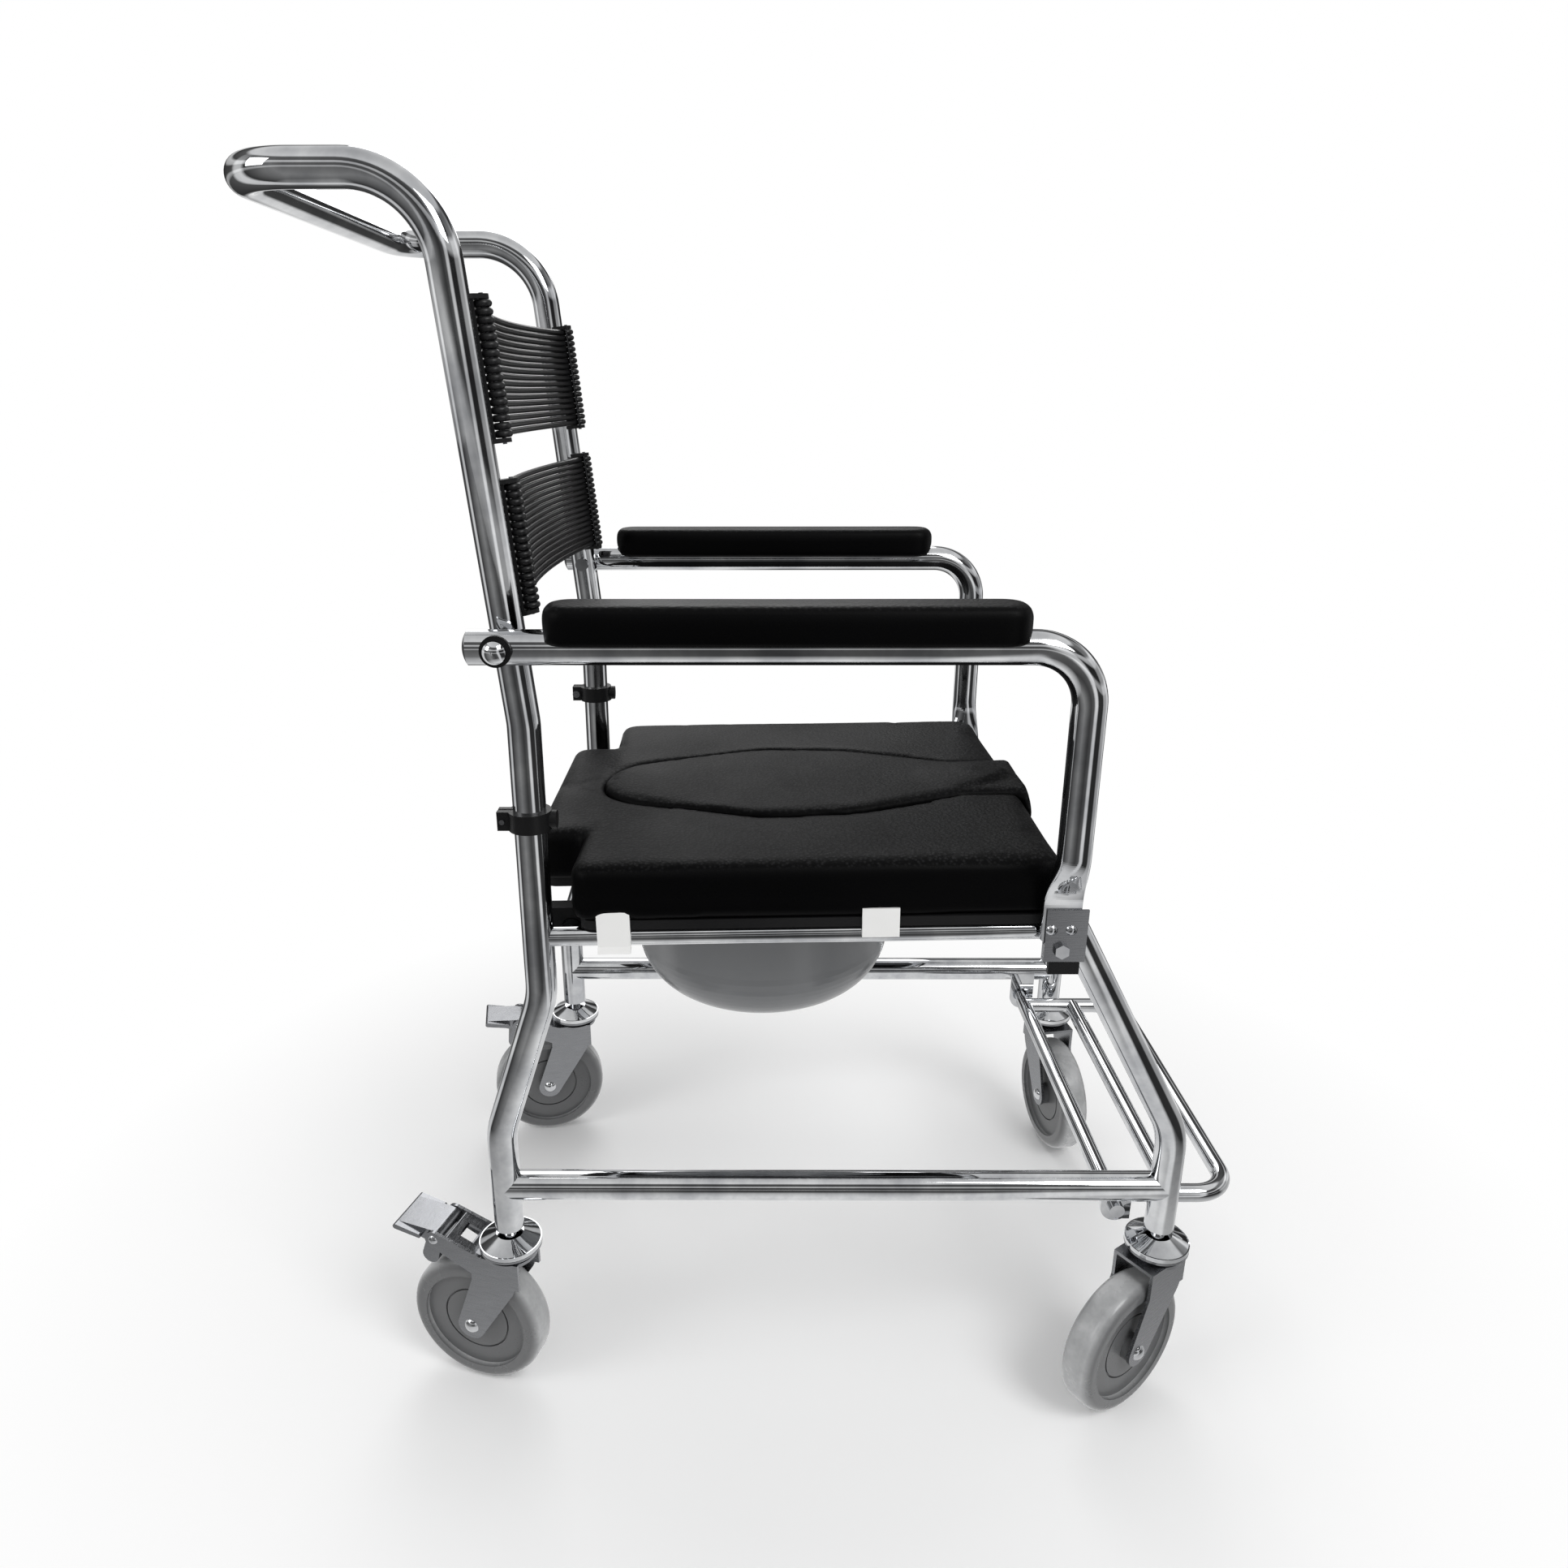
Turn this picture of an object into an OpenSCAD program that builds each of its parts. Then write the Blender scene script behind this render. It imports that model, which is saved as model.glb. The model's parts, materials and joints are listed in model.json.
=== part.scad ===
// Mobile commode chair: a bent tube frame on four swivel casters, with a cord back, armrests
// that swing up, a seat that lifts off its rails, a lift-out lid, a bucket that slides out
// behind and a footrest that folds up. The front casters run free and the rear ones have brakes.
// +Z is up, the sitter faces -Y, and the sitter's left is +X.
// The origin is on the floor, at the centre of the plan.

/* [Frame] */
// Half the distance between the two side frames, tube centre to tube centre
frame_half = 193; // [190:0.5:200]
// Outside diameter of the main tube
tube_d = 25; // [24:0.5:26]
// Wall of every tube
tube_wall = 1.5; // [1:0.1:2]
// Outside diameter of the thin tube in the seat rails, cross tubes and footrest
rail_d = 16; // [14:0.5:17]
// How far the rear casters stand behind the uprights
rear_foot_y = 42; // [30:1:55]
// How far the front casters stand in front of the uprights
front_foot_y = 522; // [505:1:540]
// How far the top of the front legs is in front of the uprights
leg_top_y = 421; // [416:1:430]
// Height of the bottom end of the leg tubes
leg_end_z = 168; // [166:1:174]
// Height at which the front and rear legs leave the vertical
knee_z = 265; // [258:1:280]
// Height at which the rear legs are upright again
hip_z = 393; // [380:1:405]
// Bend radius of the legs
leg_bend_r = 75; // [50:1:90]
// Height of the lower side rails
lower_rail_z = 209.5; // [206:0.5:220]

/* [Seat] */
// Height of the seat rails at the uprights
seat_rail_z = 446; // [440:1:460]
// Slope of the seat rails, rising to the front
seat_rake = 1; // [0:0.1:2]
// How far the cushion's rear corners reach past the side frames' tubes' centres
seat_overhang = 12; // [10:0.5:14]
// How much narrower each side of the seat is at the front
seat_taper = 4; // [0:0.5:6]
// How far the seat reaches in front of the uprights
seat_front_y = 412; // [405:1:418]
// Gap from the uprights' centre line to the rear edge of the seat's side parts
seat_rear_y = 28; // [26:1:34]
// How far the seat's rear tongue reaches behind the uprights' centre line
tongue_y = 15; // [5:1:25]
// Half the width of the seat's rear tongue
tongue_half = 122; // [110:1:135]
// Thickness of the seat cushion
cushion_thick = 44; // [38:1:50]
// Edge rounding of the seat cushion
cushion_edge_r = 9; // [6:0.5:12]
// Thickness of the board under the cushion
board_thick = 8; // [6:0.5:9]
// Largest half width of the lid
lid_half = 93; // [80:1:98]
// Half width of the lid's rear end
lid_rear_half = 62; // [50:1:70]
// Half width of the lid's neck
lid_neck_half = 46; // [40:1:52]
// Depth of the lid's recess in the cushion
lid_recess = 16; // [12:0.5:20]
// How far the lid stands above the cushion
lid_rise = 3; // [1:0.5:6]
// Width of the cushion's ledge under the lid
lid_ledge = 12; // [8:1:16]

/* [Bucket] */
// Radius of the bucket's rim
bucket_rim_r = 136; // [132:0.5:145]
// Radius of the bucket's wall at its top
bucket_r = 127; // [120:0.5:128]
// Depth of the bucket
bucket_depth = 126; // [100:1:150]
// Radius of the bucket's lower corner
bucket_corner_r = 56; // [30:1:70]
// Wall of the bucket
bucket_wall = 2.5; // [2:0.1:4]
// How far the bucket's centre is in front of the uprights
bucket_y = 178; // [170:1:220]

/* [Back and handle] */
// Height of the seam where the back tube plugs into the rear legs
seam_z = 492.5; // [480:0.5:500]
// Length of the spigot inside the leg
spigot_len = 35; // [25:1:38]
// Height at which the back tube starts to lean
lean_z = 621; // [610:1:640]
// Backward lean of the back tube
lean_angle = 5.7; // [3:0.1:8]
// Height of the push handle
handle_z = 986; // [960:1:1010]
// How far the push handle reaches behind the uprights
handle_y = 167.5; // [150:0.5:190]
// Bend radius at the top of the back tube
shoulder_r = 61; // [50:1:65]
// Bend radius of the handle's corners
handle_r = 43; // [35:1:60]
// Number of cords in each band of the back
cord_count = 17; // [12:1:17]
// Diameter of one back cord
cord_d = 4.9; // [4:0.1:5]
// Distance between neighbouring cords
cord_pitch = 5.2; // [5.1:0.1:5.5]
// How far the middle of a cord lies behind its rods
cord_bow = 22; // [12:1:30]
// Diameter of the steel rods inside the cord loops
rod_d = 3; // [2.5:0.1:3.4]
// Distance of the rods in front of the uprights' centre line
rod_forward = 17.5; // [14:0.5:18]
// Height of the middle of the upper band
upper_band_z = 864; // [858:1:872]
// Height of the middle of the lower band
lower_band_z = 746; // [738:1:752]
// Height of the bumper clamps on the uprights
bumper_z = 545; // [538:1:560]

/* [Armrests] */
// How far each armrest tube stands outside the side frame, tube centre to tube centre
arm_offset = 32.5; // [31:0.5:38]
// Height of the armrest tubes
arm_z = 684.5; // [670:0.5:700]
// How far the armrest tube ends behind the uprights
arm_rear_y = 28; // [22:1:40]
// How far the armrest's front post is in front of the uprights
arm_front_y = 406; // [400:1:410]
// Bend radius of the armrest tube
arm_bend_r = 42; // [40:1:70]
// Diameter of the armrest pivot bolts
pivot_d = 8; // [6:0.5:10]
// Length of an armrest pad
pad_len = 335; // [300:1:340]
// Width of an armrest pad
pad_w = 43; // [38:0.5:46]
// Height of an armrest pad
pad_h = 28; // [24:0.5:32]
// Distance of the pad's rear end in front of the uprights
pad_rear_y = 25; // [20:1:30]
// Width of the flattened lower end of the armrest tube
paddle_w = 30; // [26:0.5:32]
// Thickness of the flattened lower end
paddle_t = 5; // [4:0.5:6]
// Diameter of the catch pin on the front leg
catch_d = 6; // [5:0.5:7]
// Height of the latch case
case_h = 44; // [40:1:50]
// Diameter of the rivets in the latch case
rivet_d = 5; // [4:0.5:6]

/* [Footrest] */
// Height of the footrest
foot_z = 178; // [176:0.5:182]
// How far the footrest's pivot is in front of the uprights
foot_pivot_y = 486.5; // [480:0.5:490]
// How far the footrest's front bar is in front of the uprights
foot_front_y = 596; // [580:1:620]
// How far the footrest's middle bar is in front of the uprights
foot_mid_y = 541; // [530:1:550]
// How far the footrest's arms lie inside the side frames, tube centre to tube centre
foot_inset = 30; // [28:0.5:40]
// Corner radius of the footrest
foot_bend_r = 32; // [24:1:36]
// Diameter of the footrest pivot bolts
foot_bolt_d = 8; // [6:0.5:9]

/* [Casters] */
// Diameter of the wheels
wheel_d = 127; // [122:1:128]
// Width of the tyres
wheel_w = 30; // [26:1:32]
// Radius of the plastic hub inside the tyre
hub_r = 49; // [42:1:52]
// Distance from the swivel axis to the axle
trail = 35.4; // [30:0.1:42]
// Diameter of the wheel axles
axle_d = 8; // [6:0.5:9]
// Thickness of the fork's steel
fork_t = 3; // [2.5:0.5:3.5]
// Diameter of the swivel head
head_d = 54; // [50:1:58]
// Diameter of the king pin
kingpin_d = 10; // [8:0.5:12]
// Distance of the brake pedal's pin behind the swivel axis
brake_pin_y = 66; // [64:1:68]
// Swivel angle of the left rear caster
swivel_rear_left = 10.9; // [-40:0.1:40]
// Swivel angle of the right rear caster
swivel_rear_right = -17.5; // [-40:0.1:40]
// Swivel angle of the left front caster
swivel_front_left = 100.2; // [60:0.1:120]
// Swivel angle of the right front caster
swivel_front_right = 35; // [0:0.1:36]

/* [Fits] */
// Running clearance round a pin or shaft
run_gap = 0.08; // [0.03:0.01:0.1]
// Gap between faces that move past each other or rest on each other
face_gap = 0.3; // [0.2:0.05:0.5]

/* [Hidden] */
$fn = 48;
left = 1;
right = -1;
eps = 0.01;
lap = 0.4;
bend_over = 0.15;
slice = 0.2;
// The sizes of the chair are given from the uprights, and this puts the plan's centre at the origin
centre_y = (foot_front_y + rail_d / 2 - handle_y - tube_d / 2) / 2;
tube_r = tube_d / 2;
rail_r = rail_d / 2;
bore_d = tube_d - 2 * tube_wall;
plug_d = bore_d - 2 * run_gap;
plate_t = 3;
leg_outer_x = frame_half + tube_r;
arm_half = frame_half + arm_offset;

// Seat rails: the seat's own heights are measured above the rails' axis, square to its slope
leg_top_z = seat_rail_z + leg_top_y * tan(seat_rake);
leg_slope = (leg_top_z - knee_z) / (front_foot_y - leg_top_y);
cross_z = -1;
cross_rear_y = tube_r + rail_r + 3.5;
cross_front_y = leg_top_y - tube_r / sin(atan(leg_slope)) - rail_r - 4;

// Seat
board_z = rail_r + face_gap;
cushion_z = board_z + board_thick;
cushion_top = cushion_z + cushion_thick;
seat_half = frame_half + seat_overhang;
board_half = frame_half + rail_r;
board_inset = 6;
hook_x = frame_half - 31;
hook_w = 14;
hook_wall = 9;
hook_drop = 5;
clip_t = 2.4;
clip_low = -8;
clip_high = cushion_z + 8;
clip_rear_y = 61;
clip_front_y = 269;
clip_rear_w = 26;
clip_front_w = 29;

// Lid: four round ends joined by tangents, at these distances in front of the uprights
lid_rear_y = 94;
lid_wide_y = [190, 240];
lid_neck_y = 350;
lid_floor = cushion_top - lid_recess;
lid_top = cushion_top + lid_rise;
lid_gap = 0.5;
lid_lip_half = 62;
lid_lip_t = 6;
lid_lip_drop = 26;
aperture_front_y = lid_neck_y + 22;
plug_drop = 10;

// Bucket and its runners
runner_t = 2;
runner_x = bucket_rim_r + 1.5;
runner_lip = 10;
rim_t = 3;
bucket_taper = 7;
rim_z = cross_z - rail_r - 4;
runner_z = rim_z - rim_t - face_gap - runner_t;

// Back
function lean_y(z) = (z - lean_z) * tan(lean_angle);
loop_r = (rod_d + cord_d) / 2 + run_gap;
web_t = 1.6;
rod_reach = tube_r + web_t + face_gap + loop_r + cord_d / 2;
rod_side = sqrt(rod_reach * rod_reach - rod_forward * rod_forward);
rod_x = frame_half - rod_side;
cord_r = (rod_x * rod_x + cord_bow * cord_bow - loop_r * loop_r) / (2 * (cord_bow - loop_r));
cord_turn = asin(rod_x / (cord_r - loop_r));
loop_turn = 245;
band_h = (cord_count - 1) * cord_pitch + cord_d;
cheek_t = 3;
clamp_screw_d = 4;
clamp_t = 4;
clamp_head_d = 7.5;
clamp_ear = 6;
clamp_screw_y = tube_r + clamp_t + clamp_head_d / 2;
strip_half = band_h / 2 + face_gap + cheek_t;

// Armrests: the latch lies in layers between the front leg and the case's outer face
pivot_y = lean_y(arm_z);
arm_inner_x = arm_half - tube_r;
arm_outer_x = arm_half + tube_r;
paddle_x = leg_outer_x + 0.8;
case_x = paddle_x + paddle_t;
case_t = 2;
case_w = 32;
release_t = 2;
release_x = case_x - face_gap - release_t;
pin_end_x = release_x - face_gap;
pin_y = leg_top_y - 1;
pin_z = leg_top_z - 8.3;
paddle_end_z = pin_z + catch_d / 2 + face_gap;
flat_z = paddle_end_z + 32;
press_len = 48;
round_z = flat_z + press_len;
case_top_z = paddle_end_z + 30;
case_end_z = case_top_z - case_h;
rivet_z = paddle_end_z + 13;
rivet_spread = 7.5;
tab_h = 10;
release_travel = 7;
nose_d = 5;
latch_radius = [pin_y + pivot_y, arm_z - pin_z];
nose_reach = (catch_d + nose_d) / 2 + face_gap;
nose_y = -pin_y + nose_reach * latch_radius.y / norm(latch_radius);
nose_z = pin_z - nose_reach * latch_radius.x / norm(latch_radius);
guide_d = 4;
guide_y = nose_y + 10;
release_end = 3.2;
guide_z = pin_z - 0.5;
washer_t = 3;
pad_x = max(arm_half, leg_outer_x + 0.6 + pad_w / 2);
pad_bottom_z = arm_z + 3.5;

// Footrest
foot_half = frame_half - foot_inset;
bracket_x = frame_half - tube_r - 0.5;
bracket_r = 13;
foot_plug_len = 20;

// Casters
wheel_r = wheel_d / 2;
crown_z = wheel_d + 13;
fork_gap = wheel_w + 4;
race_h = 7;
mount_z = crown_z + fork_t + race_h + face_gap;
mount_h = 11;
stem_d = 12;
brake_pin_z = crown_z + 10;
hub_groove_r = wheel_r / 2;
brake_pin_d = 6;
pedal_reach = 36;
pedal_rise = 7;
pedal_root = 0.36;
pedal_w = 44;
crown_front_y = -16;
crown_len = 46;
crown_drop = 24;
bridge_from = [27, crown_z + 1.5];
bridge_to = [brake_pin_y - 12, brake_pin_z + 2.2];
window = [16, 14];

// ---------------------------------------------------------------- shared shapes

// Puts the chair's own frame, which starts at the uprights, in the part's frame
module in_place() {
    translate([0, centre_y, 0])
        children();
}

// Puts what is drawn about the seat rails' level axis on the sloping rails
module on_rails() {
    in_place()
        translate([0, 0, seat_rail_z])
            rotate([-seat_rake, 0, 0])
                children();
}

// Draws a piece and its mirror image on the chair's other side
module both_sides() {
    children();
    mirror([1, 0, 0])
        children();
}

// Draws a piece on side s
module on_side(s) {
    mirror([s < 0 ? 1 : 0, 0, 0])
        children();
}

// Stands a flat shape, drawn in the chair's Y and Z, upright from x outwards
module plate_at(x, t) {
    translate([x, 0, 0])
        rotate([90, 0, 90])
            linear_extrude(t)
                children();
}

// A round bar along +X through a point given in Y and Z
module cross_bar(y, z, from, to, d) {
    translate([from, y, z])
        rotate([0, 90, 0])
            cylinder(d = d, h = to - from);
}

// A domed head that stands on z = 0
module dome(d, h) {
    r = (d * d / 4 + h * h) / (2 * h);
    intersection() {
        translate([0, 0, h - r])
            sphere(r = r);
        cylinder(d = d, h = h);
    }
}

function unit(v) = v / norm(v);

// A straight tube from one point to another, solid where the wall is 0
module straight_tube(from, to, d, wall) {
    run = to - from;
    translate(from)
        rotate([0, acos(run.z / norm(run)), atan2(run.y, run.x)])
            difference() {
                cylinder(d = d, h = norm(run));
                if (wall > 0)
                    translate([0, 0, -1])
                        cylinder(d = d - 2 * wall, h = norm(run) + 2);
            }
}

// A solid bend of radius r round the corner at p, entered along u and left along v
module bent_corner(p, u, v, r, d) {
    turn = acos(u * v);
    centre = p + unit(v - u) * r / cos(turn / 2);
    x = (p - u * r * tan(turn / 2) - centre) / r;
    z = cross(x, u);
    multmatrix([
        [x.x, u.x, z.x, centre.x],
        [x.y, u.y, z.y, centre.y],
        [x.z, u.z, z.z, centre.z],
        [0, 0, 0, 1]
    ])
        rotate_extrude(angle = turn, $fn = 96)
            translate([r, 0])
                circle(d = d);
}

// A solid bar along straight lines, bent at each inner corner, its ends run past the path's.
// The straights lap into the bends, which are thicker by about a tenth of a millimetre
module bent_bar(path, radii, d, past = 0) {
    last = len(path) - 1;
    function way(i) = unit(path[i + 1] - path[i]);
    function reach(i) = (i == 0 || i == last)
        ? -past
        : radii[i - 1] * tan(acos(way(i - 1) * way(i)) / 2) - lap;
    for (i = [0 : last - 1])
        straight_tube(path[i] + way(i) * reach(i), path[i + 1] - way(i) * reach(i + 1), d, 0);
    for (i = [1 : last - 1])
        bent_corner(path[i], way(i - 1), way(i), radii[i - 1], d + 2 * bend_over);
}

// The same as a tube
module bent_tube(path, radii, d = tube_d, wall = tube_wall) {
    difference() {
        bent_bar(path, radii, d);
        bent_bar(path, radii, d - 2 * wall, 1);
    }
}

// Two round ends joined by their tangents
module link_shape(a, ra, b, rb) {
    along = unit(b - a);
    across = [-along.y, along.x];
    s = (ra - rb) / norm(b - a);
    c = sqrt(1 - s * s);
    one = along * s + across * c;
    other = along * s - across * c;
    translate(a)
        circle(r = ra);
    translate(b)
        circle(r = rb);
    polygon([a + one * ra, b + one * rb, b + other * rb, a + other * ra]);
}

// A rectangle with round corners
module round_rect(w, h, r) {
    square([w - 2 * r, h], center = true);
    square([w, h - 2 * r], center = true);
    for (x = [-1, 1], y = [-1, 1])
        translate([x * (w / 2 - r), y * (h / 2 - r)])
            circle(r = r);
}

// ---------------------------------------------------------------- side frames

function rear_leg_path() = [
    [frame_half, rear_foot_y, leg_end_z], [frame_half, rear_foot_y, knee_z],
    [frame_half, 0, hip_z], [frame_half, 0, seam_z]
];

function front_leg_path() = [
    [frame_half, -front_foot_y, leg_end_z],
    [frame_half, -front_foot_y, knee_z],
    [frame_half, -leg_top_y, leg_top_z] + 6 * unit([0, 1, leg_slope])
];

// Rear leg: upright tube with an S bend, so that its caster stands behind the chair's back
module rear_leg(s) {
    color("silver")
        in_place()
            on_side(s)
                bent_tube(rear_leg_path(), [leg_bend_r, leg_bend_r]);
}

// Front leg: upright at the caster, then sloping back to a closed end at the seat rail
module front_leg(s) {
    path = front_leg_path();
    color("silver")
        in_place()
            on_side(s)
                difference() {
                    bent_bar(path, [leg_bend_r], tube_d);
                    bent_bar([path[0] - [0, 0, 1], path[1], path[2] - tube_wall * unit([0, 1, leg_slope])],
                        [leg_bend_r], bore_d);
                }
}

// Lower side rail, coped to the round of both legs
module lower_rail(s) {
    color("silver")
        in_place()
            on_side(s)
                difference() {
                    straight_tube([frame_half, rear_foot_y, lower_rail_z],
                        [frame_half, -front_foot_y, lower_rail_z], tube_d, tube_wall);
                    for (y = [rear_foot_y, -front_foot_y])
                        translate([frame_half, y, lower_rail_z - tube_d])
                            cylinder(d = tube_d, h = 2 * tube_d);
                }
}

// Seat rail: thin tube from the upright to the top of the front leg
module seat_rail(s) {
    path = front_leg_path();
    color("silver")
        in_place()
            on_side(s)
                difference() {
                    straight_tube([frame_half, 0, seat_rail_z], [frame_half, -leg_top_y, leg_top_z],
                        rail_d, tube_wall);
                    translate([frame_half, 0, seat_rail_z - tube_d])
                        cylinder(d = tube_d, h = 2 * tube_d);
                    straight_tube(path[1], path[2], tube_d, 0);
                }
}

// Seat cross tubes: one at each end of the seat, welded between the seat rails
module seat_cross_tubes() {
    color("silver")
        on_rails()
            for (y = [-cross_rear_y, -cross_front_y])
                difference() {
                    straight_tube([-frame_half, y, cross_z], [frame_half, y, cross_z],
                        rail_d, tube_wall);
                    for (x = [-frame_half, frame_half])
                        straight_tube([x, y - rail_d, 0], [x, y + rail_d, 0], rail_d, 0);
                }
}

// Bucket runners: steel angles hung under the cross tubes, each with a stop for the rim
module bucket_runners() {
    post = rail_d - 4;
    start = -cross_front_y - post / 2;
    length = cross_front_y - cross_rear_y + post;
    color("silver")
        on_rails()
            both_sides()
                difference() {
                    union() {
                        translate([runner_x, start, runner_z])
                            cube([runner_t, length, rim_z + 1 - runner_z]);
                        translate([runner_x - runner_lip, start, runner_z])
                            cube([runner_lip + 1, length, runner_t]);
                        translate([runner_x - runner_lip, -bucket_y - bucket_rim_r - 3, runner_z])
                            cube([runner_lip + 1, 2, rim_z - runner_z]);
                        for (y = [-cross_rear_y, -cross_front_y])
                            translate([runner_x, y - post / 2, runner_z])
                                cube([runner_t, post, cross_z - rail_r / 2 - runner_z]);
                    }
                    for (y = [-cross_rear_y, -cross_front_y])
                        straight_tube([0, y, cross_z], [frame_half, y, cross_z], rail_d, 0);
                }
}

// ---------------------------------------------------------------- back and handle

// Back tube: one length, bent into both uprights and the push handle, plugged into the legs
module back_tube() {
    top_y = lean_y(handle_z);
    color("silver")
        in_place()
            difference() {
                union() {
                    bent_tube(
                        [
                            [frame_half, 0, seam_z], [frame_half, 0, lean_z],
                            [frame_half, top_y, handle_z], [frame_half, handle_y, handle_z],
                            [-frame_half, handle_y, handle_z], [-frame_half, top_y, handle_z],
                            [-frame_half, 0, lean_z], [-frame_half, 0, seam_z]
                        ],
                        [leg_bend_r, shoulder_r, handle_r, handle_r, shoulder_r, leg_bend_r]
                    );
                    both_sides() {
                        straight_tube([frame_half, 0, seam_z - spigot_len], [frame_half, 0, seam_z + 2],
                            plug_d, tube_wall);
                        straight_tube([frame_half, 0, seam_z], [frame_half, 0, seam_z + 2],
                            tube_d - tube_wall, tube_wall);
                    }
                }
                cross_bar(pivot_y, arm_z, -leg_outer_x - 1, leg_outer_x + 1, pivot_d + 2 * run_gap);
            }
}

// Puts a band of the back, drawn level about its rods, on the leaning uprights
module on_band(z) {
    in_place()
        translate([0, lean_y(z), z])
            rotate([-lean_angle, 0, 0])
                translate([0, -rod_forward, 0])
                    children();
}

// Strips: each lies along an upright, and a cheek at either end holds the rod of its band
module strips(z) {
    tube_axis = [frame_half, rod_forward];
    rod = [rod_x, 0];
    toward = unit(rod - tube_axis);
    across = [-toward.y, toward.x];
    cheek_root = rod + (tube_axis - rod) * 0.45;
    color("black")
        on_band(z)
            both_sides()
                difference() {
                    union() {
                        translate([0, 0, -strip_half])
                            linear_extrude(2 * strip_half)
                                intersection() {
                                    translate(tube_axis)
                                        circle(r = tube_r + web_t);
                                    polygon([
                                        tube_axis,
                                        tube_axis + 24 * toward + 15 * across,
                                        tube_axis + 24 * toward - 15 * across
                                    ]);
                                }
                        for (end = [-strip_half, strip_half - cheek_t])
                            translate([0, 0, end])
                                linear_extrude(cheek_t)
                                    link_shape(rod, rod_d + 2, cheek_root, 8);
                    }
                    translate([tube_axis.x, tube_axis.y, -strip_half - 1])
                        cylinder(d = tube_d, h = 2 * strip_half + 2);
                    translate([rod.x, rod.y, -strip_half - 1])
                        cylinder(d = rod_d + 2 * run_gap, h = 2 * strip_half + 2);
                }
}

module upper_strips() {
    strips(upper_band_z);
}

module lower_strips() {
    strips(lower_band_z);
}

// Rods: steel, each through one side's cord loops and the cheeks of its strip
module back_rods() {
    length = 2 * strip_half + 2;
    color("gray")
        for (z = [upper_band_z, lower_band_z])
            on_band(z)
                for (x = [-rod_x, rod_x])
                    translate([x, 0, -length / 2])
                        cylinder(d = rod_d, h = length);
}

// One back cord: an arc bowed backwards that curls round the rod at each end
module back_cord() {
    reach = cord_turn + 0.01;
    rotate([0, 0, 90 - reach])
        rotate_extrude(angle = 2 * reach, $fn = 720)
            translate([cord_r, 0])
                circle(d = cord_d, $fn = 24);
    both_sides()
        translate([rod_x, cord_r - cord_bow, 0])
            rotate([0, 0, 90 - cord_turn - loop_turn])
                rotate_extrude(angle = loop_turn)
                    translate([loop_r, 0])
                        circle(d = cord_d + 4 * eps, $fn = 24);
}

module cords(z) {
    color("black")
        on_band(z)
            for (i = [0 : cord_count - 1])
                translate([0, cord_bow - cord_r, (i - (cord_count - 1) / 2) * cord_pitch])
                    back_cord();
}

module upper_cords() {
    cords(upper_band_z);
}

module lower_cords() {
    cords(lower_band_z);
}

// Bumper clamps: plastic bands round the uprights, with a buffer in front and ears behind
module bumper_clamps() {
    band_r = tube_r + clamp_t;
    height = 15;
    color("black")
        in_place()
            both_sides()
                translate([frame_half, 0, bumper_z])
                    difference() {
                        union() {
                            cylinder(r = band_r, h = height, center = true);
                            translate([-clamp_ear, 0, -height / 2])
                                cube([2 * clamp_ear, clamp_screw_y + clamp_screw_d, height]);
                            rotate([90, 0, 0])
                                cylinder(d = height - 1, h = band_r + 4);
                        }
                        cylinder(r = tube_r, h = height + 2, center = true);
                        translate([-1, 0, -height])
                            cube([2, clamp_screw_y + 2 * clamp_screw_d, 2 * height]);
                        cross_bar(clamp_screw_y, 0, -10, 10, clamp_screw_d + 2 * run_gap);
                    }
}

// Clamp screws: each draws one clamp's ears together
module clamp_screws() {
    color("silver")
        in_place()
            both_sides() {
                cross_bar(clamp_screw_y, bumper_z, frame_half - clamp_ear,
                    frame_half + clamp_ear + 2, clamp_screw_d);
                cross_bar(clamp_screw_y, bumper_z, frame_half - clamp_ear - 3,
                    frame_half - clamp_ear, clamp_head_d);
            }
}

// ---------------------------------------------------------------- armrests

// Pivot bolts: each through an upright and an armrest tube, with a domed nut outside
module pivot_bolts() {
    head_x = frame_half - tube_r;
    nut_x = arm_outer_x + face_gap + washer_t;
    color("silver")
        in_place()
            both_sides() {
                cross_bar(pivot_y, arm_z, head_x - 2, nut_x + 5, pivot_d);
                cross_bar(pivot_y, arm_z, head_x - 6, head_x, pivot_d + 5);
                translate([nut_x, pivot_y, arm_z])
                    rotate([0, 90, 0]) {
                        cylinder(d = 2 * pivot_d, h = 4);
                        translate([0, 0, 4])
                            dome(2 * pivot_d, 4);
                    }
            }
}

// Pivot washers: a spacer coped to each upright, and a flat washer outside each armrest
module pivot_washers() {
    color("black")
        in_place()
            both_sides()
                difference() {
                    union() {
                        cross_bar(pivot_y, arm_z, frame_half + 6, arm_inner_x - face_gap, 18);
                        cross_bar(pivot_y, arm_z, arm_outer_x + face_gap,
                            arm_outer_x + face_gap + washer_t, 22);
                    }
                    cross_bar(pivot_y, arm_z, frame_half, arm_outer_x + 9, pivot_d + 2 * run_gap);
                    straight_tube([frame_half, 0, lean_z], [frame_half, lean_y(handle_z), handle_z],
                        tube_d, 0);
                }
}

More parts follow.
